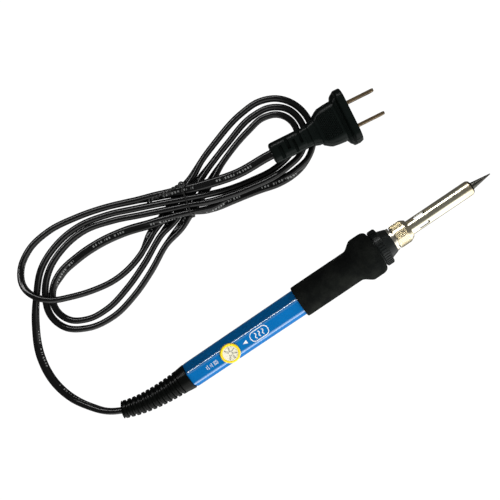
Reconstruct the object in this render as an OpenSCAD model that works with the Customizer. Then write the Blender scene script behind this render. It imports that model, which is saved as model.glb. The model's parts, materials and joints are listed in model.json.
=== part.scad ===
// Temperature-adjustable soldering iron with a flat twin mains lead and a two-pin plug.
// It lies on a bench: the flare of the foam grip and the handle's rear edge touch the surface.
// +X runs from the cord boot to the tip, +Z is up, units are millimetres.

/* [Handle] */
// Length of the blue handle, including the part hidden under the grip
handle_len = 112; // [108:0.5:116]
// Radius of the handle over its rounded corners
handle_corner_r = 7.25; // [7.15:0.05:7.3]
// Half the distance between opposite flats of the handle
handle_flat_r = 6.45; // [6.35:0.05:6.55]
// Radius of the hollow inside the handle
handle_bore_r = 5.4; // [5.2:0.1:5.5]
// How far the dial's facet is rolled from straight up, in degrees
handle_roll = 11.5; // [8:0.5:15]

/* [Dial] */
// Distance of the dial from the handle's rear end
dial_x = 24.3; // [22:0.1:27]
// Radius of the yellow ring
dial_r = 5.05; // [4.8:0.05:5.3]
// Radius of the printed white face
dial_face_r = 3.9; // [3.6:0.05:4.1]
// Thickness of the ring above the facet
dial_t = 1.0; // [0.8:0.1:1.3]

/* [Foam grip] */
// Where the foam starts
foam_start = 66.6; // [64:0.2:70]
// Where the foam ends at the front
foam_end = 113; // [112.5:0.1:113.3]
// Radius of the straight stretch
foam_r = 8.4; // [8.3:0.1:9]
// Radius of the finger guard at the front
flare_r = 11.7; // [11:0.1:12.5]

/* [Nose] */
// Radius of the grooved black collar
nose_collar_r = 9.9; // [9.5:0.1:10.2]
// Front end of the nose cap
nose_end = 122; // [121:0.5:122.5]

/* [Barrel, nut and tip] */
// Outer radius of the steel barrel
barrel_r = 3.9; // [3.8:0.05:4]
// Inner radius of the steel barrel
barrel_bore_r = 3.35; // [3.3:0.05:3.4]
// Front end of the barrel
barrel_end = 169.6; // [168:0.2:171]
// Radius of the knurled nut
nut_r = 6.3; // [6.2:0.05:6.5]
// Point of the tip
tip_end = 180.8; // [179:0.2:183]
// Radius of the ceramic heater
heater_r = 1.95; // [1.8:0.05:2]

/* [Boot] */
// Length of the ribbed boot behind the handle
boot_len = 38.5; // [38.2:0.1:39]
// Number of ribs on the boot
boot_ribs = 12; // [10:1:12]
// Angle through which the boot's rear end is bent, in degrees
boot_flex = 21; // [19:0.5:22]

/* [Cord] */
// Width of the flat twin cord
cord_w = 5.0; // [4.8:0.1:5.2]
// Thickness of the flat twin cord
cord_t = 3.2; // [3:0.1:3.3]
// Radius of the wire tie
tie_wire_r = 0.5; // [0.4:0.05:0.6]

/* [Plug] */
// Centre distance of the two blades
blade_spacing = 12.7; // [12.7]
// Length of the blades in front of the plug's face
blade_len = 15.9; // [15.5:0.1:17]
// Width of the plug's face
plug_w = 28.8; // [27:0.2:29.6]
// Height of the plug's face
plug_h = 19.8; // [19:0.1:19.9]

/* [Hidden] */
$fn = 64;
eps = 0.01;

// Rest attitude: the flare and the handle's lowest rear corner touch the surface.
flare_start_x = 105;
corner_arc = 30 - acos(handle_flat_r / handle_corner_r);
handle_drop = handle_corner_r * cos(30 - handle_roll - corner_arc);
tilt = atan((flare_r - handle_drop) / flare_start_x);
axis_rise = handle_drop * cos(tilt);
boot_rear_r = 4.65;
boot_sides = 20;
rib_pitch = 2.75;
boot_reach = boot_len * (1 - pow(boot_flex * PI / 180, 2) / 10) + boot_rear_r * sin(boot_flex);
centre_x = (tip_end - boot_reach) * cos(tilt) / 2;

// Stations along the iron
nose_back = 104;
nose_floor = handle_len + 1.2;
collar_rear = 113.6;
collar_front = 117.6;
neck_front = 126;
nut_back = 124;
nut_front = 132.6;
flange_t = 1.2;
nose_bore_r = 4.4;
neck_r = 4.6;
tip_shoulder = 166.5;
tip_base_r = 2.05;

// Facet frame inside the handle: board height, parts on the board
board_top = -0.5;
board_t = 1.0;
pot_r = 4.2;
pot_top = 3.2;
shaft_r = 1.5;

// Plug stations, measured from the rear of its strain relief
plug_pos = [26.3, 69.05, 10];
plug_turn = -7.65;
relief_len = 17.5;
relief_w = 11;
neck_h = 8.8;
plug_face = 43.8;
blade_t = 1.5;
blade_h = 6.3;
bridge_back = 35;
bridge_front = 41;
cord_in_plug = 8.4;

// The cord's middle line from inside the handle to inside the plug: x, y, z and the roll of
// its wide side out of the level, in degrees. It sweeps from the boot to a figure-of-eight
// hank of three turns, whose strands all pass through one wire tie.
route = [
    // out of the boot, round to the hank's left end and over the tie
    [-58.5, 0, 7.4, 90], [-83.5, 0, 6.5, 90], [-95.5, 1.5, 5.9, 90], [-108.5, 4.5, 5.4, 90],
    [-115.5, 8.5, 4.7, 90], [-121.5, 15, 3.4, 80], [-127, 24, 2.6, 65], [-130, 37, 2.5, 60],
    [-128.5, 50, 2.5, 60], [-121, 66, 2.5, 75], [-113, 77, 2.5, 90], [-103.5, 87, 2.5, 90],
    [-90, 93, 2.5, 90], [-75.5, 94.5, 2.5, 90], [-59.5, 91, 2.5, 90], [-46, 85.5, 4.3, 90],
    [-31, 79, 7, 90],
    // over the tie, first right-hand fold, the inner one
    [-22, 75, 8, 90], [-15, 72, 7.2, 90], [-2.5, 67.5, 4, 90], [10.5, 64.5, 2.5, 90],
    [23.5, 62.8, 2.5, 90], [33.5, 64.2, 2.5, 90], [41.5, 68, 2.5, 90], [44.8, 76, 2.5, 90],
    [41.5, 84, 2.5, 90], [33.5, 87.5, 2.5, 90], [23.5, 86.2, 2.5, 90], [4.5, 80.5, 2.5, 85],
    [-5, 76.5, 2.3, 50], [-14, 72.6, 2.1, 15],
    // under the tie, first left-hand fold, the outer one
    [-23.5, 68.7, 3.3, 30], [-31, 65.5, 2.3, 20], [-44, 61.5, 2.5, 85], [-57, 55, 2.5, 90],
    [-71, 49.5, 2.5, 90], [-86.5, 46.5, 2.5, 90], [-100.5, 49, 2.5, 90], [-110, 56, 2.5, 90],
    [-112.5, 65, 2.5, 90], [-109, 75, 2.5, 90], [-100, 84.5, 2.5, 90], [-88.5, 89.5, 2.5, 90],
    [-74.5, 91, 2.5, 90], [-59.5, 87.2, 2.5, 90], [-46, 81.5, 4.3, 90], [-32, 75.5, 7, 90],
    // second right-hand fold, the middle one
    [-22.5, 71.5, 8, 90], [-15, 68, 7.5, 90], [-3.5, 64.2, 6.5, 90], [10.5, 61, 5.9, 90],
    [22.5, 59.3, 5.8, 90], [30.5, 59.8, 4, 90], [39, 61.5, 2.5, 90], [45.7, 67, 2.5, 90],
    [48.5, 75.5, 2.5, 90], [46.5, 84, 2.5, 90], [39.5, 89.8, 2.5, 90], [29.5, 91.2, 2.5, 90],
    [11, 86.8, 2.5, 90], [-1, 83, 2.55, 80], [-13.5, 78.5, 2.45, 50],
    // second left-hand fold, the inner one
    [-22.5, 74.3, 3.3, 30], [-32, 70.5, 2.1, 10], [-43.5, 67, 2.5, 80], [-58, 60, 2.5, 90],
    [-72.5, 54.5, 2.5, 90], [-86.5, 51.5, 2.5, 90], [-98, 52.8, 2.5, 90], [-106, 58, 2.5, 90],
    [-108.5, 66, 2.5, 90], [-104.7, 74.6, 2.5, 85], [-96.5, 79.5, 2.2, 30], [-85, 81.5, 1.8, 0],
    [-71.5, 81.5, 1.7, 0], [-57, 79, 2.2, 0], [-43.5, 74.5, 5.3, 15], [-31.5, 71, 7.2, 75],
    // third right-hand fold, the outer one
    [-23.5, 68, 8, 90], [-15.5, 64.4, 4.5, 65], [-3.5, 62, 2, 0], [10.5, 59, 1.7, 0],
    [22, 56, 1.7, 0], [32, 55.5, 2.4, 45], [42, 58.2, 2.5, 90], [49.3, 65, 2.5, 90],
    [52.3, 74, 2.5, 90], [51, 83.5, 2.5, 90], [45.8, 91, 2.5, 90], [36.5, 95.5, 2.5, 90],
    [25.5, 95.5, 2.5, 90], [5.5, 90.5, 2.5, 90], [-4.5, 87, 2.5, 85], [-13, 83, 2.4, 60],
    // third left-hand fold, the largest, which crosses over the others
    [-21.5, 80, 3.3, 30], [-33.5, 75.3, 2.1, 10], [-45, 71.5, 2.1, 25], [-58, 64.5, 2.5, 90],
    [-75, 61.5, 2.6, 90], [-88, 63.5, 3.3, 90], [-97.5, 66.5, 5.4, 90], [-107, 71, 7.9, 90],
    [-113, 77.5, 7.9, 90], [-115, 85.5, 5.2, 90], [-112, 92.5, 2.9, 90], [-103.5, 98.5, 2.5, 90],
    [-89.5, 101, 2.5, 90], [-74, 99, 2.5, 90], [-59, 95, 2.5, 90], [-44, 89, 4.3, 80],
    [-31, 83.6, 6.2, 40],
    // flat over the tie and into the plug
    [-21, 79.4, 7.4, 0], [-8.5, 75, 8.1, 0], [6.5, 70.8, 9.3, 0], [24.5, 69.3, 10, 0],
    [34.5, 68, 10, 0]
];

function profile(w, t) = let (r = t / 2, h = w / 2 - r, c = r * cos(45))
    [[h + r, 0], [h + c, c], [0, r], [-h - c, c], [-h - r, 0], [-h - c, -c], [0, -r], [h + c, -c]];
function unit(v) = v / norm(v);
function at(i) = [route[i][0], route[i][1], route[i][2]];
function along(i) = let (n = len(route) - 1)
    i == 0 ? unit(at(1) - at(0))
    : i == n ? unit(at(n) - at(n - 1))
    : unit(unit(at(i) - at(i - 1)) + unit(at(i + 1) - at(i)));
function ring(i, w, t) = let (
        a = along(i),
        side = unit(cross([0, 0, 1], a)),
        up = cross(a, side),
        roll = route[i][3],
        wide = side * cos(roll) + up * sin(roll),
        thin = up * cos(roll) - side * sin(roll))
    [for (p = profile(w, t)) at(i) + p[0] * wide + p[1] * thin];

// Placing helpers
module on_bench() translate([-centre_x, 0, axis_rise]) rotate([0, -tilt, 0]) children();
module facet_frame() on_bench() rotate([handle_roll, 0, 0]) children();
module at_plug() translate(plug_pos) rotate([0, 0, plug_turn]) children();
module rod(x0, x1, r0, r1 = -1)
    translate([x0, 0, 0]) rotate([0, 90, 0]) cylinder(h = x1 - x0, r1 = r0, r2 = r1 < 0 ? r0 : r1);
module ring_of(n, r) for (i = [0:n - 1]) rotate([i * 360 / n, 0, 0]) translate([0, 0, r]) children();
// A bar along X whose section is a rectangle with round corners
module round_bar(x0, x1, w, h, r) {
    corner = [for (q = [0:3]) for (k = [0:4]) let (a = q * 90 + k * 22.5,
        cx = (q == 0 || q == 3 ? 1 : -1) * (w / 2 - r), cz = (q < 2 ? 1 : -1) * (h / 2 - r))
        [cx + r * cos(a), cz + r * sin(a)]];
    translate([x0, 0, 0]) rotate([90, 0, 90]) linear_extrude(x1 - x0) polygon(corner);
}

// ---- Handle, grip and nose ----
module hex_bar(x0, x1) intersection() {
    rod(x0, x1, handle_corner_r);
    rotate([30, 0, 0]) translate([x0, 0, 0]) rotate([0, 90, 0])
        cylinder(h = x1 - x0, r = handle_flat_r / cos(30), $fn = 6);
}
module handle_shell() color("royalblue") facet_frame() difference() {
    hex_bar(0, handle_len);
    rod(3, handle_len + 1, handle_bore_r);
    rod(-1, 4, 4.6);
    translate([dial_x, 0, 0]) cylinder(h = 10, r = 2.1);
}
function flare(t) = foam_r + (flare_r - foam_r) * (1 - cos(180 * t)) / 2;
module foam_grip() color([0.09, 0.09, 0.08]) on_bench() rotate([0, 90, 0]) rotate_extrude() polygon(concat(
    [[7.35, foam_start], [foam_r - 0.6, foam_start], [foam_r, foam_start + 0.6]],
    [for (k = [0:8]) [flare(k / 8), 98.6 + k * (flare_start_x - 98.6) / 8]],
    [[flare_r, 109.6], [flare_r - 0.25, 111.3], [flare_r - 0.8, 112.4], [flare_r - 1.5, foam_end]],
    [[8.7, foam_end], [8.7, nose_back], [7.35, nose_back]]));
module nose_cap() color([0.05, 0.05, 0.055]) on_bench() difference() {
    union() {
        rod(nose_back + 0.2, collar_rear, 8.6);
        rod(collar_rear, collar_front, nose_collar_r);
        rod(collar_front, collar_front + 0.4, 7.65);
        rod(collar_front + 0.4, nose_end, 7.65, 6.35);
    }
    rod(nose_back, nose_floor, 7.35);
    rod(nose_floor - 1, nose_end + 1, nose_bore_r);
    ring_of(3, 5.6) rod(nose_floor - 1, nose_floor + 5.5, 1.0);
}
module front_collar() color("silver") on_bench() difference() {
    union() {
        rod(handle_len, nose_floor, 7.2);
        rod(nose_floor - eps, nose_end, nose_bore_r - 0.05);
        rod(nose_end, nose_end + 1.2, 6.15);
        rod(nose_end + 1, neck_front, neck_r);
    }
    rod(handle_len - 1, neck_front + 1, 3.4);
    ring_of(3, 5.6) rod(handle_len - eps, nose_floor + eps, 1.55, 1.0);
}
module collar_screws() color([0.7, 0.7, 0.68]) on_bench() ring_of(3, 5.6) {
    rod(handle_len + 0.05, nose_floor, 1.5, 0.95);
    rod(nose_floor - eps, nose_floor + 5, 0.95);
}

// ---- Hot end ----
module retaining_nut() color([0.8, 0.75, 0.62]) on_bench() difference() {
    union() {
        rod(nut_back, 130.8, nut_r);
        rod(130.8, nut_front, nut_r, 4.6);
    }
    rod(nut_back - 1, neck_front + 0.2, neck_r + 0.15);
    rod(neck_front - 0.15, neck_front + flange_t + 0.35, 5.2);
    rod(neck_front + 1, nut_front + 1, barrel_r + 0.15);
}
module slot(x0, x1, half) {
    translate([x0 + half, 0, 0]) cylinder(h = 6, r = half);
    translate([x1 - half, 0, 0]) cylinder(h = 6, r = half);
    translate([x0 + half, -half, 0]) cube([x1 - x0 - 2 * half, 2 * half, 6]);
}
module barrel() color([0.82, 0.8, 0.74]) on_bench() difference() {
    union() {
        rod(neck_front + 0.1, neck_front + 0.1 + flange_t, 5.0);
        rod(neck_front + 0.5, nut_front + 0.5, barrel_r - 0.2);
        rod(nut_front + 0.4, barrel_end - 1.2, barrel_r);
        rod(barrel_end - 1.2, barrel_end, barrel_r, barrel_r - 0.9);
    }
    rod(neck_front - 1, barrel_end - 1.4, barrel_bore_r);
    rod(barrel_end - 2, barrel_end + 1, 2.45);
    for (a = [40:90:310]) rotate([a, 0, 0]) slot(136.6, 142.9, 0.95);
}
module tip() color([0.36, 0.34, 0.32]) on_bench() difference() {
    union() {
        rod(146, tip_shoulder, barrel_bore_r - 0.15);
        rod(tip_shoulder - eps, barrel_end - 0.6, tip_base_r);
        rod(barrel_end - 0.6, tip_end, tip_base_r, 0.22);
    }
    rod(145, 163, heater_r + 0.2);
}
module heater_rod() color("ivory") on_bench() rod(115, 160, heater_r);
module heater_bush() color([0.85, 0.8, 0.7]) on_bench() difference() {
    rod(115.5, 120, 3.35);
    rod(115, 121, heater_r + 0.02);
}
module heater_leads() color([0.85, 0.85, 0.8]) facet_frame()
    for (y = [-1, 1]) translate([0, y, -0.02]) rod(57, 115, 0.42);

// ---- Control board inside the handle ----
module circuit_board() color("seagreen") facet_frame() difference() {
    translate([15, -4.5, board_top - board_t]) cube([42, 9, board_t]);
    for (x = [18, 54]) translate([x, 0, -3]) cylinder(h = 4, r = 0.8);
}
module triac() color([0.1, 0.1, 0.1]) facet_frame() difference() {
    translate([46, 0, board_top]) cylinder(h = 4.2, r = 2.4);
    translate([43, 1.5, board_top - eps]) cube([6, 2, 5]);
}
module board_capacitor() color("firebrick") facet_frame() translate([36, -2.8, board_top]) cube([3.4, 5.6, 4.2]);
module board_resistors() color("tan") facet_frame()
    for (y = [-2.8, 0, 2.8]) translate([0, y, board_top + 0.95]) rod(50, 53.6, 0.95);
module dial_pot_body() color([0.2, 0.25, 0.35]) facet_frame() difference() {
    translate([dial_x, 0, board_top]) cylinder(h = pot_top - board_top, r = pot_r);
    translate([dial_x, 0, 0.8]) cylinder(h = 4, r = shaft_r + 0.05);
}
module dial_shaft() color("white") facet_frame() translate([dial_x, 0, 0.9])
    cylinder(h = handle_flat_r + 0.4 - 0.9, r = shaft_r);
module dial_ring() color("gold") facet_frame() translate([dial_x, 0, 0]) difference() {
    union() {
        translate([0, 0, handle_flat_r + 0.15]) cylinder(h = dial_t, r = dial_r);
        translate([0, 0, handle_flat_r - 1]) cylinder(h = 1.2, r = 1.9);
    }
    translate([0, 0, handle_flat_r - 2]) cylinder(h = 2.4, r = shaft_r);
    translate([0, 0, handle_flat_r + 0.15 + dial_t - 0.35]) cylinder(h = 1, r = dial_face_r);
}
module dial_label() color("white") facet_frame()
    translate([dial_x, 0, handle_flat_r + dial_t - 0.2]) cylinder(h = 0.3, r = dial_face_r - 0.02);

// ---- Cord, boot and tie ----
// The boot's middle line bends sideways towards its rear end. Its skin runs down the outside
// over the ribs, round the rear rim and back through the cord's hole.
function boot_turn(s) = s < 0 ? 0 : boot_flex * pow(s / boot_len, 2);
function boot_centre(s) = s < 0 ? [-s, 0, 0]
    : [-s * (1 - pow(boot_turn(s) * PI / 180, 2) / 10), boot_flex * PI / 180 * pow(s, 3) / (3 * pow(boot_len, 2)), 0];
function boot_ring(s, r) = [for (k = [0:boot_sides - 1]) let (q = k * 360 / boot_sides, t = boot_turn(s))
    boot_centre(s) + r * [cos(q) * sin(t), cos(q) * cos(t), sin(q)]];
function rib_r(i) = 6.25 - i * 0.145;
boot_skin = concat(
    [[-5, 5.2], [-3, 5.2], [-3, 4.5], [0, 4.5], [0, 6.75], [5.1, 6.2]],
    [for (i = [0:boot_ribs - 1]) let (s = 5.3 + i * rib_pitch)
        each [[s, rib_r(i) - 0.75], [s + 0.1, rib_r(i)], [s + 1.5, rib_r(i)], [s + 1.6, rib_r(i) - 0.75]]],
    [[boot_len - 1.3, 4.0], [boot_len - 1.2, boot_rear_r], [boot_len, boot_rear_r - 0.1]],
    [for (s = [boot_len, 34, 29, 23, 16, 8, -5]) [s, 2.75]]);
module strain_relief() color([0.07, 0.07, 0.07]) on_bench() {
    n = len(boot_skin);
    points = [for (p = boot_skin) each boot_ring(p[0], p[1])];
    polyhedron(points, [for (i = [0:n - 1]) for (k = [0:boot_sides - 1])
        let (a = i * boot_sides + k, b = i * boot_sides + (k + 1) % boot_sides,
            c = (i + 1) % n * boot_sides + k, d = (i + 1) % n * boot_sides + (k + 1) % boot_sides)
        each [[a, d, c], [a, b, d]]], convexity = 10);
}
module cord_retainer() color([0.75, 0.75, 0.72]) on_bench() difference() {
    rod(7, 11, 4.9);
    rotate([90, 0, 0]) round_bar(6, 12, cord_w + 0.2, cord_t + 0.2, cord_t / 2 + 0.05);
    for (y = [-3.6, 3.6]) translate([9, y, -6]) cylinder(h = 12, r = 0.7);
}
module cord_leads() color("peru") on_bench()
    for (z = [-0.9, 0.9]) translate([0, 0, z - 0.3]) rod(12.6, 15, 0.6);
module power_cord() color([0.04, 0.04, 0.045]) {
    n = len(route);
    sides = 8;
    points = [for (i = [0:n - 1]) each ring(i, cord_w, cord_t)];
    walls = [for (i = [0:n - 2]) for (k = [0:sides - 1]) let (a = i * sides + k, b = i * sides + (k + 1) % sides)
        each [[a, a + sides, b + sides], [a, b + sides, b]]];
    caps = [[for (k = [0:sides - 1]) k], [for (k = [sides - 1:-1:0]) (n - 1) * sides + k]];
    polyhedron(points, concat([caps[0]], walls, [caps[1]]), convexity = 20);
}
// A wire loop round all seven strands, its twisted ends laid back along the hank
tie_centre = [-22.2, 74.2, 5.5];
tie_turn = -11;
tie_half_w = 8.6;
tie_half_h = 5.0;
tie_corner = 2.6;
module quarter(a) rotate([0, 0, a]) rotate_extrude(angle = 90) translate([tie_corner, 0]) circle(r = tie_wire_r, $fn = 20);
module cord_tie() color([0.1, 0.1, 0.1]) translate(tie_centre) rotate([0, 0, tie_turn]) {
    w = tie_half_w - tie_corner;
    h = tie_half_h - tie_corner;
    rotate([90, 0, 90]) {
        for (q = [0:3]) translate([(q == 0 || q == 3 ? 1 : -1) * w, (q < 2 ? 1 : -1) * h, 0]) quarter(q * 90);
        for (s = [-1, 1]) {
            translate([-w, s * tie_half_h, 0]) rotate([0, 90, 0]) cylinder(h = 2 * w, r = tie_wire_r, $fn = 20);
            translate([s * tie_half_w, h, 0]) rotate([90, 0, 0]) cylinder(h = 2 * h, r = tie_wire_r, $fn = 20);
        }
    }
    translate([-0.4, tie_half_w, 3.2]) rotate([0, 0, 6]) rod(-20, 0, 0.9);
    translate([0, -tie_half_w, 3.4]) sphere(r = 1.2, $fn = 24);
}

// ---- Plug ----
module plug_body() color([0.09, 0.09, 0.1]) at_plug() difference() {
    union() {
        round_bar(0, relief_len + 1, relief_w, neck_h, 3.6);
        round_bar(relief_len, 27.5, relief_w + 1, neck_h, 3.6);
        hull() {
            round_bar(25.2, 25.4, 14.4, neck_h, 3.6);
            round_bar(28.2, 28.4, 18, neck_h + 0.4, 3.8);
            round_bar(31.5, 31.7, 20.6, 13.6, 4.2);
            round_bar(40.2, 40.4, 21.8, 15, 4.4);
        }
        hull() {
            round_bar(39.2, 39.4, 25.6, 17, 5);
            round_bar(41, plug_face - 0.4, plug_w, plug_h, 5.6);
            round_bar(plug_face - 0.2, plug_face, plug_w - 0.8, plug_h - 0.8, 5.4);
        }
    }
    round_bar(-1, cord_in_plug, cord_w + 0.06, cord_t + 0.06, cord_t / 2);
    for (x = [4.0, 11.7]) for (z = [-5, 3.1]) translate([x, -7, z]) cube([1.8, 9, 1.9]);
    for (x = [8.2, 15.2]) for (z = [-5, 3.1]) translate([x, -2, z]) cube([1.7, 9, 1.9]);
    for (z = [-5, 3.1]) translate([18.4, -7, z]) cube([2.7, 14, 1.9]);
    for (s = [-1, 1]) translate([27.6, -7.1, s > 0 ? 6.5 : -8.5]) cube([11, 14.2, 2]);
    translate([bridge_back, -9, -4]) cube([bridge_front - bridge_back, 18, 8]);
    for (s = [-1, 1]) translate([bridge_front - eps, s * blade_spacing / 2 - blade_t / 2, -blade_h / 2])
        cube([5, blade_t, blade_h]);
    for (s = [-1, 1]) translate([0, s * 1.25, 0]) rod(cord_in_plug - eps, bridge_back + eps, 0.75);
}
module plug_bridge() color([0.75, 0.74, 0.7]) at_plug() difference() {
    translate([bridge_back, -9, -4]) cube([bridge_front - bridge_back, 18, 8]);
    for (s = [-1, 1]) translate([bridge_back + 2, s * blade_spacing / 2 - blade_t / 2, -blade_h / 2])
        cube([8, blade_t, blade_h]);
}
module plug_leads() color("peru") at_plug()
    for (s = [-1, 1]) translate([0, s * 1.25, 0]) rod(cord_in_plug, bridge_back, 0.75);
module plug_blades() color([0.78, 0.7, 0.5]) at_plug() for (s = [-1, 1]) difference() {
    translate([bridge_back + 2, s * blade_spacing / 2 - blade_t / 2, -blade_h / 2])
        cube([plug_face + blade_len - bridge_back - 2, blade_t, blade_h]);
    translate([plug_face + 12, s * blade_spacing / 2 + 2, 0]) rotate([90, 0, 0]) cylinder(h = 4, r = 1.6);
}

handle_shell();
foam_grip();
nose_cap();
front_collar();
collar_screws();
retaining_nut();
barrel();
tip();
heater_rod();
heater_bush();
heater_leads();
circuit_board();
triac();
board_capacitor();
board_resistors();
dial_pot_body();
dial_shaft();
dial_ring();
dial_label();
strain_relief();
cord_retainer();
cord_leads();
power_cord();
cord_tie();
plug_body();
plug_bridge();
plug_leads();
plug_blades();
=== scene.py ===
"""Looks of a temperature-adjustable soldering iron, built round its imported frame.

Lengths inside the classes are millimetres; meshes are written in metres, in the frame's axes.
"""

import json
import logging
import math
from dataclasses import dataclass, field
from enum import Enum
from typing import Any, Mapping, Sequence

import bmesh
import bpy
from mathutils import Matrix, Vector, noise

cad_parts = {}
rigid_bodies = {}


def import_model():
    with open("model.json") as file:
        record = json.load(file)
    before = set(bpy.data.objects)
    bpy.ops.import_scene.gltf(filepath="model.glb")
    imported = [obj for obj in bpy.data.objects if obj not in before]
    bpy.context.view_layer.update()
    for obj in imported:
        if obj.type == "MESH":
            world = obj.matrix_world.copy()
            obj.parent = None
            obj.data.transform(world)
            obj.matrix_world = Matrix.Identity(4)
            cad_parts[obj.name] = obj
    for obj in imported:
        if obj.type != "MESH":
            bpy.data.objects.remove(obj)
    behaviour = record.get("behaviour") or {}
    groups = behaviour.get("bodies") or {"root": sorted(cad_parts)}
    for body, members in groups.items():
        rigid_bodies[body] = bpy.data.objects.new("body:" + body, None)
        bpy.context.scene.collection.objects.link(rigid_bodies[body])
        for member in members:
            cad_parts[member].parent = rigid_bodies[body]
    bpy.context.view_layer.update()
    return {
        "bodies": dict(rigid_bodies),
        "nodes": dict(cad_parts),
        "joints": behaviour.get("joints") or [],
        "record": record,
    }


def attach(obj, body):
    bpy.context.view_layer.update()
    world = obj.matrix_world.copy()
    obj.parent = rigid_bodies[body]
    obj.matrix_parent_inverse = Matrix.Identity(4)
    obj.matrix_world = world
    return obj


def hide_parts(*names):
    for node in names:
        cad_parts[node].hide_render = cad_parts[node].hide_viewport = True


LOG = logging.getLogger("soldering_iron")
MM = 0.001
Point = tuple[float, float, float]
Flat = tuple[float, float]
Rgb = tuple[float, float, float]


class Body(Enum):
    """The moving bodies of the iron."""

    IRON = "iron"
    DIAL = "dial"
    BARREL = "barrel"
    NUT = "nut"


# Where the foam grip starts on the handle, in mm, and how narrow the handle is at its rear end
GRIP_START = 66.6
REAR_TAPER = 0.955


# ---------------------------------------------------------------- socket arithmetic


class Wire:
    """A value socket that takes part in Python arithmetic by adding Math nodes."""

    def __init__(self, tree: Any, socket: bpy.types.NodeSocket) -> None:
        """Keep the node tree and the socket that carries the value."""
        self.tree = tree
        self.socket = socket

    def math(self, operation: str, *others: Any) -> "Wire":
        """Run one Math node.

        Args:
            operation: the Math node's operation, whose first input is this wire.
            others: its further inputs, wires or numbers.

        Returns:
            The result as a wire.
        """
        node = self.tree.nodes.new("ShaderNodeMath")
        node.operation = operation
        for slot, value in zip(node.inputs, (self, *others)):
            plug(self.tree, slot, value)
        return Wire(self.tree, node.outputs[0])

    def __add__(self, other: Any) -> "Wire":
        """Sum."""
        return self.math("ADD", other)

    __radd__ = __add__

    def __sub__(self, other: Any) -> "Wire":
        """Difference."""
        return self.math("SUBTRACT", other)

    def __rsub__(self, other: Any) -> "Wire":
        """Difference from a number."""
        return self.math("MULTIPLY_ADD", -1.0, other)

    def __mul__(self, other: Any) -> "Wire":
        """Product."""
        return self.math("MULTIPLY", other)

    __rmul__ = __mul__

    def __truediv__(self, other: Any) -> "Wire":
        """Quotient."""
        return self.math("DIVIDE", other)

    def __lt__(self, other: Any) -> "Wire":
        """One where this is the smaller, else nought."""
        return self.math("LESS_THAN", other)

    def __gt__(self, other: Any) -> "Wire":
        """One where this is the larger, else nought."""
        return self.math("GREATER_THAN", other)

    def ease(self, low: float, high: float) -> "Wire":
        """Rise smoothly from nought at low to one at high."""
        node = self.tree.nodes.new("ShaderNodeMapRange")
        node.interpolation_type = "SMOOTHSTEP"
        for slot, value in zip(node.inputs, (self, low, high, 0.0, 1.0)):
            plug(self.tree, slot, value)
        return Wire(self.tree, node.outputs[0])


def plug(tree: Any, slot: bpy.types.NodeSocket, value: Any) -> None:
    """Link a wire or socket into a slot, or set the slot's own value."""
    if isinstance(value, Wire):
        tree.links.new(value.socket, slot)
    elif isinstance(value, bpy.types.NodeSocket):
        tree.links.new(value, slot)
    elif value is not None:
        slot.default_value = value


@dataclass
class Graph:
    """A node tree, of a material or of Geometry Nodes, and the one way in which nodes are added."""

    tree: Any

    def add(self, kind: str, settings: Mapping[str, Any] | None = None) -> bpy.types.Node:
        """Add a bare node with its settings."""
        node = self.tree.nodes.new(kind)
        for name, value in (settings or {}).items():
            setattr(node, name, value)
        return node

    def node(
        self, kind: str, values: Mapping[Any, Any] | None = None, settings: Mapping[str, Any] | None = None
    ) -> bpy.types.Node:
        """Add a node, set it up, then give its sockets values or links.

        Args:
            kind: the node's type name.
            values: socket name or number to a number, wire or socket.
            settings: the node's own properties, set first.

        Returns:
            The node.
        """
        node = self.add(kind, settings)
        for key, value in (values or {}).items():
            plug(self.tree, node.inputs[key], value)
        return node

    def wire(self, kind: str, values: Mapping[Any, Any], out: Any = 0, **settings: Any) -> Wire:
        """Add a node and take one of its outputs as a wire."""
        return Wire(self.tree, self.node(kind, values, settings).outputs[out])

    def tint(self, factor: Any, first: Any, second: Any, mode: str = "MIX") -> bpy.types.NodeSocket:
        """Mix two colours.

        Args:
            factor: share of the second colour.
            first: colour tuple or socket.
            second: colour tuple or socket.
            mode: the blend type.

        Returns:
            The mixed colour's socket.
        """
        node = self.node("ShaderNodeMix", {}, {"data_type": "RGBA", "blend_type": mode})
        for slot, value in ((0, factor), (6, first), (7, second)):
            plug(self.tree, node.inputs[slot], rgba(value))
        return node.outputs[2]


def rgba(value: Any) -> Any:
    """Add the fourth number to a colour tuple; leave anything else."""
    return (*value, 1.0) if isinstance(value, tuple) and len(value) == 3 else value


# ---------------------------------------------------------------- where the iron lies


@dataclass(frozen=True)
class Rest:
    """How the iron lies: on the grip's flare and the handle's rear edge."""

    tilt: float = math.radians(2.5736)
    rise: float = 6.973
    centre: float = 70.5
    roll: float = math.radians(11.5)

    def iron(self) -> Matrix:
        """Iron axes, x=0 at the handle's rear, to the frame's, in millimetres."""
        return Matrix.Translation((-self.centre, 0, self.rise)) @ Matrix.Rotation(-self.tilt, 4, "Y")

    def facet(self, x: float = 0.0, height: float = 0.0) -> Matrix:
        """The dial's facet: z out of the facet, at station x and that height over the axis."""
        return self.iron() @ Matrix.Rotation(self.roll, 4, "X") @ Matrix.Translation((x, 0, height))


REST = Rest()


# ---------------------------------------------------------------- finishes


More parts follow.
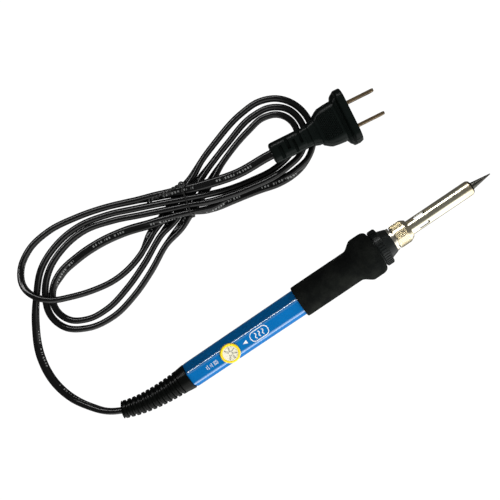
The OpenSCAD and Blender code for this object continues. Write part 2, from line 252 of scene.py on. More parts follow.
@dataclass(frozen=True)
class Finish:
    """A material's name and plain values; subclasses add the pattern."""

    name: str
    colour: Rgb
    roughness: float = 0.5
    metallic: float = 0.0
    coat: float = 0.0
    sheen: float = 0.0
    specular: float = 0.5
    glow: float = 0.0

    def build(self) -> bpy.types.Material:
        """Make the material once, and return it."""
        title = self.name + "_finish"
        found = bpy.data.materials.get(title)
        if found:
            return found
        made = bpy.data.materials.new(title)
        made.use_nodes = True
        tree = made.node_tree
        tree.nodes.clear()
        g = Graph(tree)
        shader = g.node(
            "ShaderNodeBsdfPrincipled",
            {
                "Base Color": rgba(self.colour),
                "Roughness": self.roughness,
                "Metallic": self.metallic,
                "Coat Weight": self.coat,
                "Coat Roughness": 0.22,
                "Coat IOR": 2.4,
                "Sheen Weight": self.sheen,
                "Sheen Roughness": 0.6,
                "Specular IOR Level": self.specular,
                "Emission Color": (1.0, 1.0, 1.0, 1.0),
                "Emission Strength": self.glow,
            },
        )
        for key, value in self.pattern(g).items():
            plug(tree, shader.inputs[key], value)
        end = g.node("ShaderNodeOutputMaterial", {"Surface": shader.outputs[0]})
        end.is_active_output = True
        made.diffuse_color = rgba(self.colour)
        return made

    def pattern(self, g: Graph) -> dict[str, Any]:
        """The sockets that vary over the surface; none on a plain finish."""
        raise NotImplementedError

    def millimetres(self, g: Graph) -> bpy.types.NodeSocket:
        """Object coordinates turned into the iron's own axes, in millimetres."""
        back = Matrix.Rotation(REST.tilt, 3, "Y") @ Vector((-REST.centre, 0, REST.rise))
        seat = g.node("ShaderNodeTexCoord")
        turned = g.node(
            "ShaderNodeMapping",
            {
                "Vector": seat.outputs["Object"],
                "Location": tuple(-back),
                "Rotation": (0.0, REST.tilt, 0.0),
                "Scale": (1000.0,) * 3,
            },
        )
        return turned.outputs[0]

    def noise(self, g: Graph, where: Any, scale: float, detail: float = 3.0, rough: float = 0.5) -> Wire:
        """A noise of so many bumps a millimetre."""
        return g.wire("ShaderNodeTexNoise",
            {"Vector": where, "Scale": scale, "Detail": detail, "Roughness": rough})

    def bump(self, g: Graph, height: Any, depth: float, strength: float = 1.0) -> bpy.types.NodeSocket:
        """Turn a height into a normal; depth is in millimetres."""
        return g.node("ShaderNodeBump",
            {"Height": height, "Distance": depth * MM, "Strength": strength}).outputs[0]

    def stretched(self, g: Graph, where: Any, scale: Point) -> bpy.types.NodeSocket:
        """Coordinates scaled differently along each axis."""
        return g.node("ShaderNodeMapping", {"Vector": where, "Scale": scale}).outputs[0]


@dataclass(frozen=True)
class Moulded(Finish):
    """Moulded plastic or rubber: a fine spark-eroded grain, faint flow clouds and a little dust."""

    grain: float = 4.0
    depth: float = 0.02
    cloud: float = 0.12
    dust: Rgb = (0.30, 0.30, 0.28)
    dusty: float = 0.05

    def pattern(self, g: Graph) -> dict[str, Any]:
        """Grain in the normal, clouds in the colour, wiped patches in the roughness."""
        mm = self.millimetres(g)
        grain = self.noise(g, mm, self.grain, 2.0)
        cloud = self.noise(g, mm, 0.09, 4.0, 0.6)
        speck = self.noise(g, mm, 1.7, 5.0, 0.7).ease(0.60, 0.78)
        deep = tuple(c * (1 - self.cloud) for c in self.colour)
        high = tuple(min(1.0, c * (1 + self.cloud)) for c in self.colour)
        skin = g.tint(cloud.ease(0.3, 0.7), deep, high)
        skin = g.tint(speck * self.dusty, skin, self.dust)
        return {
            "Base Color": skin,
            "Roughness": cloud * 0.16 + speck * 0.1 + (self.roughness - 0.08),
            "Normal": self.bump(g, grain, self.depth),
        }


@dataclass(frozen=True)
class HandleSkin(Finish):
    """The blue handle: satin, darker towards the rear, lighter along its corners with rubbed wear and a
    painted highlight.
    """

    # lighter blue for the corners: partly rubbed wear, partly a painted highlight
    corner_wear_and_highlight: Rgb = (0.01, 0.20, 0.52)

    def pattern(self, g: Graph) -> dict[str, Any]:
        """Lighter corners, partly rubbed wear and partly painted highlight, come from the distance to the
        axis, scuffs from a stretched noise.
        """
        mm = self.millimetres(g)
        parts = g.node("ShaderNodeSeparateXYZ", {0: mm})
        x, y, z = (Wire(g.tree, parts.outputs[i]) for i in range(3))
        radius = (y * y + z * z).math("SQRT")
        taper = (x / GRIP_START).math("MINIMUM", 1.0) * (1 - REAR_TAPER) + REAR_TAPER
        corner = (radius / taper).ease(6.9, 7.08)
        scuffs = self.noise(g, self.stretched(g, mm, (0.25, 2.2, 2.2)), 1.2, 6.0, 0.65).ease(0.56, 0.72)
        cloud = self.noise(g, mm, 0.11, 3.0, 0.5)
        skin = g.tint(cloud.ease(0.3, 0.7), tuple(c * 0.88 for c in self.colour), self.colour)
        skin = g.tint(x.ease(0.0, 30.0) * 0.25, skin, tuple(c * 1.25 for c in self.colour))
        # corners tinted lighter blue: partly rubbed wear, partly a painted highlight
        skin = g.tint(corner * (0.35 + scuffs * 0.5), skin, self.corner_wear_and_highlight)
        grain = self.noise(g, mm, 5.0, 2.0)
        return {
            "Base Color": skin,
            "Roughness": scuffs * 0.18 + cloud * 0.10 + self.roughness - corner * 0.06,
            "Coat Weight": corner * self.coat,
            "Normal": self.bump(g, grain * 0.6 + scuffs * 0.4, 0.003),
        }


@dataclass(frozen=True)
class Foam(Finish):
    """Closed-cell foam: open pores of two sizes, worn olive in cloudy patches."""

    worn: Rgb = (0.013, 0.0145, 0.0125)

    def pattern(self, g: Graph) -> dict[str, Any]:
        """Painted shade darkens the colour in the pores, and the pores dent the normal."""
        mm = self.millimetres(g)
        big = g.wire("ShaderNodeTexVoronoi", {"Vector": mm, "Scale": 2.3, "Randomness": 1.0}, "Distance")
        small = g.wire("ShaderNodeTexVoronoi", {"Vector": mm, "Scale": 5.2, "Randomness": 1.0}, "Distance")
        fibre = self.noise(g, mm, 2.6, 6.0, 0.75)
        cloud = self.noise(g, mm, 0.13, 4.0, 0.6).ease(0.35, 0.68)
        painted_pore_shade = (1 - big.ease(0.06, 0.34)) * fibre.ease(0.42, 0.62)
        skin = g.tint(cloud * 0.55 + fibre * 0.25, self.colour, self.worn)
        # painted shade: the pores are coloured near black
        skin = g.tint(painted_pore_shade * 0.8, skin, (0.004, 0.004, 0.004))
        height = big.ease(0.0, 0.45) * 0.6 + small * 0.35 + fibre * 0.55
        return {
            "Base Color": skin,
            "Roughness": 0.97 - cloud * 0.1,
            "Normal": self.bump(g, height, 0.16, 0.8),
        }


@dataclass(frozen=True)
class Turned(Finish):
    """Turned and plated metal: hair-fine rings round the axis, smudges, and heat colour by station."""

    warm: Rgb = (0.62, 0.50, 0.30)
    heat_from: float = 300.0
    heat_to: float = 320.0
    rings: float = 4.0
    # radius inside which the bore is coloured near black as painted shade
    painted_shade_radius: float = 0.0

    def pattern(self, g: Graph) -> dict[str, Any]:
        """Turning rings in the normal and roughness, heat tint rising towards the hot end, and painted shade
        darkening the bore.
        """
        mm = self.millimetres(g)
        parts = g.node("ShaderNodeSeparateXYZ", {0: mm})
        x, y, z = (Wire(g.tree, parts.outputs[i]) for i in range(3))
        painted_bore_shade = (y * y + z * z) < self.painted_shade_radius**2
        rings = self.noise(g, self.stretched(g, mm, (self.rings, 0.12, 0.12)), 1.0, 4.0, 0.7)
        smudge = self.noise(g, mm, 0.28, 5.0, 0.6).ease(0.42, 0.7)
        streak = self.noise(g, self.stretched(g, mm, (0.08, 0.9, 0.9)), 1.0, 4.0, 0.6).ease(0.35, 0.65)
        heat = (x + smudge * 3.0).ease(self.heat_from, self.heat_to)
        skin = g.tint(streak * 0.35, self.colour, tuple(c * 0.72 for c in self.colour))
        skin = g.tint(heat * 0.75, skin, self.warm)
        # painted shade: the bore is coloured near black
        skin = g.tint(painted_bore_shade, skin, (0.012, 0.010, 0.008))
        return {
            "Base Color": skin,
            "Roughness": self.roughness + painted_bore_shade * 0.4 + rings * 0.05 + smudge * 0.07 + heat * 0.08,
            "Normal": self.bump(g, rings, 0.0006, 0.5),
        }


@dataclass(frozen=True)
class CordSkin(Finish):
    """Glossy cord jacket: drawn lines along it, handling marks, and rows of faint printed dashes."""

    ink: Rgb = (0.33, 0.34, 0.34)

    def pattern(self, g: Graph) -> dict[str, Any]:
        """Reads the jacket's own attributes: millimetres along it and share of its width across."""
        def own(name: str) -> Wire:
            """One attribute of the jacket."""
            return g.wire("ShaderNodeAttribute", {}, "Fac", attribute_name=name)

        along, across, face = own("along"), own("across"), own("face")
        place = g.node("ShaderNodeCombineXYZ", {0: along * 0.05, 1: across * 3.0, 2: face})
        drawn = self.noise(g, place.outputs[0], 3.0, 4.0, 0.6)
        marks = self.noise(g, self.millimetres(g), 0.5, 5.0, 0.65).ease(0.55, 0.75)
        word = (along / 31.0).math("FRACT")
        letter = (along / 1.55).math("FRACT")
        gap = self.noise(g, g.node("ShaderNodeCombineXYZ", {0: along * 0.4}).outputs[0], 1.0, 1.0) > 0.47
        band = (across.math("ABSOLUTE") < 0.2) * (face > 0.5)
        dash = band * (word < 0.62) * (letter < 0.55) * gap
        skin = g.tint(marks * 0.1, self.colour, (0.03, 0.03, 0.032))
        skin = g.tint(dash * 0.55, skin, self.ink)
        return {
            "Base Color": skin,
            "Roughness": self.roughness + drawn * 0.08 + marks * 0.12 + dash * 0.1,
            "Normal": self.bump(g, drawn * 0.5 + dash * 0.4, 0.0015),
        }


@dataclass(frozen=True)
class Printed(Finish):
    """Ink or a printed face: thin cover that lets a little of the grain through."""

    def pattern(self, g: Graph) -> dict[str, Any]:
        """Uneven cover and a fine screen texture."""
        mm = self.millimetres(g)
        cover = self.noise(g, mm, 2.4, 4.0, 0.6)
        fine = self.noise(g, mm, 9.0, 2.0)
        skin = g.tint(cover.ease(0.3, 0.75), tuple(c * 0.86 for c in self.colour), self.colour)
        return {
            "Base Color": skin,
            "Roughness": cover * 0.15 + self.roughness,
            "Normal": self.bump(g, fine, 0.006),
        }


BLUE = HandleSkin("handle_blue", (0.0003, 0.135, 0.41), roughness=0.17, coat=0.9, specular=0.10)
FOAM = Foam("grip_foam", (0.0035, 0.0042, 0.0042), roughness=0.95, specular=0.04)
NOSE = Moulded("nose_black", (0.012, 0.014, 0.014), specular=0.12, roughness=0.32, grain=3.5, depth=0.02)
BOOT = Moulded("boot_black", (0.0028, 0.0033, 0.003), specular=0.08, roughness=0.28, grain=2.2, depth=0.012,
    dusty=0.01)
PLUG = Moulded("plug_black", (0.0038, 0.0058, 0.0052), specular=0.08, roughness=0.30, grain=3.0, depth=0.02,
    dusty=0.015)
CORD = CordSkin("cord_black", (0.0028, 0.0028, 0.003), roughness=0.15, specular=0.3)
TIE = Moulded("tie_black", (0.012, 0.012, 0.012), roughness=0.35, grain=2.0, dusty=0.15)
NICKEL = Turned("nut_nickel", (0.74, 0.67, 0.50), roughness=0.20, metallic=1.0)
# the steel's bore is coloured near black as painted shade, out to painted_shade_radius
STEEL = Turned("barrel_steel", (0.76, 0.72, 0.56), roughness=0.17, metallic=1.0, painted_shade_radius=3.62,
    warm=(0.55, 0.43, 0.26),
               heat_from=156.0, heat_to=176.0)
COLLAR = Turned("steel_plated", (0.62, 0.58, 0.50), roughness=0.22, metallic=1.0)
SCREW = Turned("screw_steel", (0.58, 0.57, 0.55), roughness=0.25, metallic=1.0)
TIP = Turned("tip_iron", (0.07, 0.07, 0.06), roughness=0.30, metallic=0.9, warm=(0.06, 0.055, 0.05),
             heat_from=168.0, heat_to=182.0)
BLADE = Turned("blade_brass", (0.34, 0.25, 0.15), roughness=0.24, metallic=1.0, rings=1.0)
COPPER = Turned("copper_leads", (0.72, 0.36, 0.20), roughness=0.3, metallic=1.0)
PLUG_COPPER = Turned("plug_copper", (0.72, 0.36, 0.20), roughness=0.3, metallic=1.0)
LEAD = Turned("lead_nickel", (0.66, 0.65, 0.62), roughness=0.3, metallic=1.0)
YELLOW = Moulded("dial_yellow", (0.95, 0.68, 0.004), roughness=0.36, grain=4.0, cloud=0.08, dusty=0.03)
FACE = Printed("label_white", (0.88, 0.84, 0.66), roughness=0.42)
INK = Printed("dial_ink", (0.02, 0.018, 0.022), roughness=0.45)
WHITE_INK = Printed("handle_ink", (0.86, 0.87, 0.88), roughness=0.40)
# the heater rod is coloured near black as painted shade, seen through the barrel's slots and bore
HEATER_PAINTED_SHADE = Moulded("heater_ceramic", (0.05, 0.045, 0.04), roughness=0.55, grain=6.0)
BUSH = Moulded("bush_ceramic", (0.72, 0.66, 0.55), roughness=0.6, grain=6.0)
BOARD = Moulded("board_green", (0.02, 0.17, 0.07), roughness=0.32, grain=1.6, cloud=0.3)
TRIAC = Moulded("component_black", (0.02, 0.02, 0.02), roughness=0.5)
CAPACITOR = Moulded("capacitor_red", (0.33, 0.05, 0.03), roughness=0.25, grain=1.0)
RESISTOR = Moulded("resistor_tan", (0.55, 0.41, 0.24), roughness=0.35, cloud=0.3)
POT = Moulded("pot_blue", (0.03, 0.06, 0.17), roughness=0.4)
SHAFT = Moulded("shaft_white", (0.75, 0.75, 0.72), roughness=0.4)
RETAINER = Moulded("retainer_grey", (0.5, 0.5, 0.48), roughness=0.5)
BRIDGE = Moulded("bridge_ivory", (0.62, 0.59, 0.50), roughness=0.45)


# ---------------------------------------------------------------- shapes


@dataclass
class Shape:
    """Points and faces of a piece before it is placed, in millimetres."""

    points: list[Vector] = field(default_factory=list)
    faces: list[tuple[int, ...]] = field(default_factory=list)

    def __iadd__(self, other: "Shape") -> "Shape":
        """Take in another shape's points and faces."""
        start = len(self.points)
        self.points += other.points
        self.faces += [tuple(start + i for i in f) for f in other.faces]
        return self

    def moved(self, place: Matrix) -> "Shape":
        """A copy of the shape put somewhere else."""
        return Shape([place @ p for p in self.points], list(self.faces))


def soften(outline: Sequence[Flat], radius: float, closed: bool, steps: int = 3) -> list[Flat]:
    """Round the corners of an outline.

    Args:
        outline: its corners.
        radius: how far from each corner the rounding starts, at most 45% of an edge.
        closed: whether the last corner joins the first; else both ends stay as they are.
        steps: straight pieces in one rounded corner.

    Returns:
        The rounded outline.
    """
    made: list[Flat] = []
    count = len(outline)
    for i, here in enumerate(outline):
        if not closed and i in (0, count - 1):
            made.append(here)
            continue
        corner = Vector(here)
        ends = []
        for other in (outline[i - 1], outline[(i + 1) % count]):
            edge = Vector(other) - corner
            reach = min(radius, 0.45 * edge.length)
            ends.append(corner + edge.normalized() * reach)
        for k in range(steps + 1):
            t = k / steps
            spot = ends[0] * (1 - t) ** 2 + corner * 2 * t * (1 - t) + ends[1] * t * t
            made.append((spot.x, spot.y))
    return made


def loft(rings: Sequence[Sequence[Vector]], loop: bool = False) -> Shape:
    """Join equal rings of points by a skin.

    Args:
        rings: the rings, in order.
        loop: whether the last ring joins the first; else the ends are capped.

    Returns:
        The closed shape.
    """
    sides = len(rings[0])
    shape = Shape([p for ring in rings for p in ring])
    for i in range(len(rings) if loop else len(rings) - 1):
        a, b = i * sides, (i + 1) % len(rings) * sides
        shape.faces += [(a + k, a + (k + 1) % sides, b + (k + 1) % sides, b + k) for k in range(sides)]
    if not loop:
        last = (len(rings) - 1) * sides
        shape.faces += [tuple(range(sides))[::-1], tuple(range(last, last + sides))]
    return shape


def lathe(outline: Sequence[Flat], sides: int = 96, hollow: bool = False) -> Shape:
    """Turn an outline of (station, radius) about the x axis.

    Args:
        outline: along the skin; a solid starts and ends on the axis.
        sides: how many flats go round.
        hollow: whether the outline closes on itself round a bore.

    Returns:
        The closed shape.
    """
    def ring(x: float, r: float) -> list[Vector]:
        """One ring of points."""
        turns = [math.tau * k / sides for k in range(sides)]
        return [Vector((x, -r * math.sin(a), r * math.cos(a))) for a in turns]

    if hollow:
        return loft([ring(x, r) for x, r in outline], loop=True)
    body = loft([ring(x, r) for x, r in outline[1:-1]])
    body.faces = body.faces[:-2]
    first, last = len(body.points), len(body.points) + 1
    tail = first - sides
    body.points += [Vector((outline[0][0], 0, 0)), Vector((outline[-1][0], 0, 0))]
    for k in range(sides):
        body.faces += [(first, (k + 1) % sides, k), (last, tail + k, tail + (k + 1) % sides)]
    return body


def slab(outline: Sequence[Flat], low: float, high: float) -> Shape:
    """Raise a flat outline into a plate between two heights."""
    return loft([[Vector((x, y, z)) for x, y in outline] for z in (low, high)])


def ribbon(path: Sequence[Flat], width: float, low: float, high: float, closed: bool = False) -> Shape:
    """A flat band of even width along a path, as printed lines are."""
    count = len(path)
    rings = []
    for i, here in enumerate(path):
        after = path[(i + 1) % count] if closed or i < count - 1 else here
        before = path[i - 1] if closed or i > 0 else here
        along = (Vector(after) - Vector(before)).normalized()
        side = Vector((-along.y, along.x)) * width / 2
        spot = Vector(here)
        corners = ((spot + side, low), (spot - side, low), (spot - side, high), (spot + side, high))
        rings.append([Vector((c.x, c.y, z)) for c, z in corners])
    return loft(rings, loop=closed)


def rounded_box(width: float, height: float, radius: float, steps: int = 6) -> list[Flat]:
    """A rectangle with round corners, centred on nought."""
    made = []
    for q in range(4):
        cx = (width / 2 - radius) * (1 if q in (0, 3) else -1)
        cy = (height / 2 - radius) * (1 if q < 2 else -1)
        for k in range(steps + 1):
            a = math.pi / 2 * (q + k / steps)
            made.append((cx + radius * math.cos(a), cy + radius * math.sin(a)))
    return made


def tube(path: Sequence[Vector], radius: float, sides: int = 12, loop: bool = False) -> Shape:
    """A round wire along a path, with ends domed a little."""
    count = len(path)
    rings: list[list[Vector]] = []
    side = None
    for i, spot in enumerate(path):
        after = path[(i + 1) % count] if loop or i < count - 1 else spot
        before = path[i - 1] if loop or i > 0 else spot
        along = (after - before).normalized()
        guide = side if side is not None else along.orthogonal()
        side = (guide - along * guide.dot(along)).normalized()
        up = along.cross(side)
        turns = [math.tau * k / sides for k in range(sides)]
        ring = [spot + radius * (math.cos(a) * side + math.sin(a) * up) for a in turns]
        if not loop and i in (0, count - 1):
            nose = spot + along * radius * (0.5 if i else -0.5)
            tiny = [nose + (p - spot) * 0.55 for p in ring]
            rings += [ring, tiny] if i else [tiny, ring]
        else:
            rings.append(ring)
    return loft(rings, loop=loop)


def new_piece(name: str, shape: Shape, place: Matrix, finish: Finish,
    sharp: float = 35.0) -> bpy.types.Object:
    """Write a shape into the scene as a mesh, with its place in the mesh.

    Args:
        name: the piece's name.
        shape: its points and faces, in millimetres.
        place: from the shape's axes to the frame's, in millimetres.
        finish: its material.
        sharp: edges that turn by more than this many degrees stay crisp.

    Returns:
        The object.
    """
    mesh = bpy.data.meshes.new(name)
    whole = Matrix.Scale(MM, 4) @ place
    mesh.from_pydata([whole @ p for p in shape.points], [], shape.faces)
    work = bmesh.new()
    work.from_mesh(mesh)
    bmesh.ops.remove_doubles(work, verts=work.verts, dist=2e-6)
    bmesh.ops.recalc_face_normals(work, faces=work.faces)
    work.to_mesh(mesh)
    work.free()
    piece = bpy.data.objects.new(name, mesh)
    bpy.context.scene.collection.objects.link(piece)
    mesh.materials.append(finish.build())
    crisp(mesh, sharp)
    return piece


def crisp(mesh: bpy.types.Mesh, sharp: float) -> None:
    """Shade smooth, but keep edges that turn by more than so many degrees."""
    mesh.polygons.foreach_set("use_smooth", [True] * len(mesh.polygons))
    mesh.set_sharp_from_angle(angle=math.radians(sharp))


def settle(piece: bpy.types.Object, place: Matrix | None = None, sharp: float = 35.0) -> bpy.types.Object:
    """Turn a piece's modifiers into plain mesh.

    Args:
        piece: an object with modifiers.
        place: from the mesh's axes, in millimetres, to the frame's; None if it is there already.
        sharp: as in new_piece.

    Returns:
        The same object, with no modifiers.
    """
    graph = bpy.context.evaluated_depsgraph_get()
    made = bpy.data.meshes.new_from_object(piece.evaluated_get(graph), depsgraph=graph)
    piece.modifiers.clear()
    piece.data = made
    if place is not None:
        made.transform(Matrix.Scale(MM, 4) @ place)
    crisp(made, sharp)
    return piece


def carve(piece: bpy.types.Object, cutters: Sequence[Shape], place: Matrix, sharp: float = 35.0) -> None:
    """Cut shapes out of a piece and leave plain mesh."""
    tools = []
    for cutter in cutters:
        tool = new_piece(piece.name + "_cut", cutter, place, INK)
        tools.append(tool)
        step = piece.modifiers.new("cut", "BOOLEAN")
        step.operation, step.solver, step.object = "DIFFERENCE", "EXACT", tool
    settle(piece, sharp=sharp)
    for tool in tools:
        bpy.data.objects.remove(tool, do_unlink=True)
    finish = piece.data.materials[0]
    piece.data.materials.clear()
    piece.data.materials.append(finish)
    work = bmesh.new()
    work.from_mesh(piece.data)
    bmesh.ops.remove_doubles(work, verts=work.verts, dist=1e-6)
    bmesh.ops.dissolve_degenerate(work, edges=work.edges, dist=1e-6)
    work.to_mesh(piece.data)
    work.free()
    piece.data.polygons.foreach_set("material_index", [0] * len(piece.data.polygons))


def carry(piece: bpy.types.Object, body: Body, slot: str, *nodes: str) -> bpy.types.Object:
    """Let a piece ride on a body and stand for CAD nodes."""
    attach(piece, body.value)
    if nodes:
        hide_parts(*nodes)
    LOG.info("%s rides on %s: %d faces", piece.name, body.value, len(piece.data.polygons))
    return piece


# ---------------------------------------------------------------- repeated features


class Recipe:
    """A Geometry Nodes tree with named inputs, used by way of a modifier."""

    title = "recipe"

    def __init__(self) -> None:
        """Build the tree once."""
        self.tree = bpy.data.node_groups.new(self.title, "GeometryNodeTree")
        self.tree.interface.new_socket(name="Geometry", in_out="INPUT", socket_type="NodeSocketGeometry")
        self.tree.interface.new_socket(name="Geometry", in_out="OUTPUT", socket_type="NodeSocketGeometry")
        self.graph = Graph(self.tree)
        self.sockets: dict[str, str] = {}
        self.source = self.graph.add("NodeGroupInput")
        end = self.graph.add("NodeGroupOutput")
        for name, kind in self.inputs().items():
            item = self.tree.interface.new_socket(name=name, in_out="INPUT", socket_type=kind)
            self.sockets[name] = item.identifier
        plug(self.tree, end.inputs[0], self.lay())

    def inputs(self) -> dict[str, str]:
        """Names and socket types of the tree's own inputs."""
        raise NotImplementedError

    def lay(self) -> bpy.types.NodeSocket:
        """Add the nodes and return the finished geometry's socket."""
        raise NotImplementedError

    def given(self, name: str) -> Wire:
        """One of the tree's inputs as a wire."""
        return Wire(self.tree, self.source.outputs[name])

    def dressed(self, geometry: Any) -> bpy.types.NodeSocket:
        """Realize instances and set the material."""
        real = self.graph.node("GeometryNodeRealizeInstances", {"Geometry": geometry})
        painted = self.graph.node(
            "GeometryNodeSetMaterial", {"Geometry": real.outputs[0], "Material": self.given("Finish")}
        )
        return painted.outputs[0]

    def apply(
        self, name: str, seed: Shape, finish: Finish, place: Matrix, values: Mapping[str, Any],
            sharp: float = 35.0,
        tags: Mapping[str, Sequence[float]] | None = None,
    ) -> bpy.types.Object:
        """Run the tree on a small shape and keep the result as plain mesh.

        Args:
            name: the new piece's name.
            seed: the shape that the tree repeats or bends, in millimetres.
            finish: the material.
            place: from the tree's axes to the frame's, in millimetres.
            values: the tree's inputs by name.
            sharp: as in new_piece.
            tags: numbers for each point, one or three, under the names that the tree reads.

        Returns:
            The finished piece.
        """
        piece = new_piece(name, seed, Matrix.Scale(1 / MM, 4), finish, sharp)
        for tag, numbers in (tags or {}).items():
            several = len(numbers) > len(seed.points)
            layer = piece.data.attributes.new(tag, "FLOAT_VECTOR" if several else "FLOAT", "POINT")
            layer.data.foreach_set("vector" if several else "value", numbers)
        step = piece.modifiers.new(self.title, "NODES")
        step.node_group = self.tree
        for key, value in {**values, "Finish": finish.build()}.items():
            step[self.sockets[key]] = value
        return settle(piece, place, sharp)


class Wheel(Recipe):
    """Repeats a tooth round the z axis: knurls, grooves, serrations and scale marks."""

    title = "wheel_of_teeth"

    def inputs(self) -> dict[str, str]:
        """Count, radius, first angle and step."""
        return {
            "Count": "NodeSocketInt",
            "Radius": "NodeSocketFloat",
            "First": "NodeSocketFloat",
            "Step": "NodeSocketFloat",
            "Finish": "NodeSocketMaterial",
        }

    def lay(self) -> bpy.types.NodeSocket:
        """Points on a circle, each with the tooth turned outwards."""
        g = self.graph
        index = g.wire("GeometryNodeInputIndex", {})
        angle = self.given("First") + index * self.given("Step")
        radius = self.given("Radius")
        spot = g.node(
            "ShaderNodeCombineXYZ", {0: radius * angle.math("COSINE"), 1: radius * angle.math("SINE")}
        )
        points = g.node("GeometryNodePoints", {"Count": self.given("Count"), "Position": spot.outputs[0]})
        euler = g.node("ShaderNodeCombineXYZ", {2: angle})
        turn = g.node("FunctionNodeEulerToRotation", {0: euler.outputs[0]})
        teeth = g.node(
            "GeometryNodeInstanceOnPoints",
            {"Points": points.outputs[0], "Instance": self.source.outputs[0], "Rotation": turn.outputs[0]},
        )
        return self.dressed(teeth.outputs[0])


class Studs(Recipe):
    """Repeats a stud over a staggered grid, as on the plug's grip panel."""

    title = "staggered_studs"

    def inputs(self) -> dict[str, str]:
        """Columns, rows and their pitches."""
        return {
            "Columns": "NodeSocketInt",
            "Rows": "NodeSocketInt",
            "Pitch X": "NodeSocketFloat",
            "Pitch Y": "NodeSocketFloat",
            "Finish": "NodeSocketMaterial",
        }

    def lay(self) -> bpy.types.NodeSocket:
        """Every other column is moved by half a pitch."""
        g = self.graph
        index, rows = g.wire("GeometryNodeInputIndex", {}), self.given("Rows")
        column = (index / rows + 0.001).math("FLOOR")
        row = index - column * rows
        odd = column.math("MODULO", 2.0)
        spot = g.node(
            "ShaderNodeCombineXYZ",
            {
                0: (column - (self.given("Columns") - 1) / 2) * self.given("Pitch X"),
                1: (row - (rows - 1) / 2 + (odd - 0.5) / 2) * self.given("Pitch Y"),
            },
        )
        points = g.node(
            "GeometryNodePoints", {"Count": self.given("Columns") * rows, "Position": spot.outputs[0]}
        )
        studs = g.node(
            "GeometryNodeInstanceOnPoints", {"Points": points.outputs[0], "Instance": self.source.outputs[0]}
        )
        return self.dressed(studs.outputs[0])


class Ribs(Recipe):
    """Sinks even valleys into a skin that knows its station and its outward direction."""

    title = "ribbed_skin"

    def inputs(self) -> dict[str, str]:
        """Pitch, depth, first and last station."""
        return {
            "Pitch": "NodeSocketFloat",
            "Depth": "NodeSocketFloat",
            "First": "NodeSocketFloat",
            "Last": "NodeSocketFloat",
            "Finish": "NodeSocketMaterial",
        }

    def lay(self) -> bpy.types.NodeSocket:
        """A rounded square wave of the station pushes each point inwards."""
        g = self.graph

        def own(name: str, kind: str) -> Wire:
            """An attribute of the skin."""
            return g.wire("GeometryNodeInputNamedAttribute", {"Name": name}, 0, data_type=kind)

        station, out = own("station", "FLOAT"), own("out", "FLOAT_VECTOR")
        phase = (station - self.given("First")) / self.given("Pitch")
        share = phase.math("FRACT")
        crest = share.ease(0.04, 0.2) * (1 - share.ease(0.62, 0.78))
        painted_bore_shade = (station > self.given("First")) * (station < self.given("Last"))
        push = g.node(
            "ShaderNodeVectorMath",
            {0: out, "Scale": (crest - 1) * painted_bore_shade * self.given("Depth")},
            {"operation": "SCALE"},
        )
        bent = g.node(
            "GeometryNodeSetPosition", {"Geometry": self.source.outputs[0], "Offset": push.outputs[0]}
        )
        return self.dressed(bent.outputs[0])


WHEEL: Wheel
STUDS: Studs
RIBS: Ribs


def tooth(width: float, top: float, height: float, length: float, bury: float = 0.3,
    slope: float = 0.25) -> Shape:
    """A tooth for a wheel: x outwards, z along the axle, sunk a little into what carries it.

    Args:
        width: at the foot.
        top: width at the crest.
        height: over the carrying surface.
        length: along the axle, centred.
        bury: depth under the surface.
        slope: how far the crest stops short of each end.

    Returns:
        The tooth.
    """
    rings = []
    for z, rise in ((-length / 2, 0.0), (-length / 2 + slope, height), (length / 2 - slope, height),
        (length / 2, 0.0)):
        crest = top if rise else width * 0.9
        rings.append([Vector(p) for p in (
            (-bury, -width / 2, z), (-bury, width / 2, z), (rise, crest / 2, z), (rise, -crest / 2, z))])
    return loft(rings)


# ---------------------------------------------------------------- studio


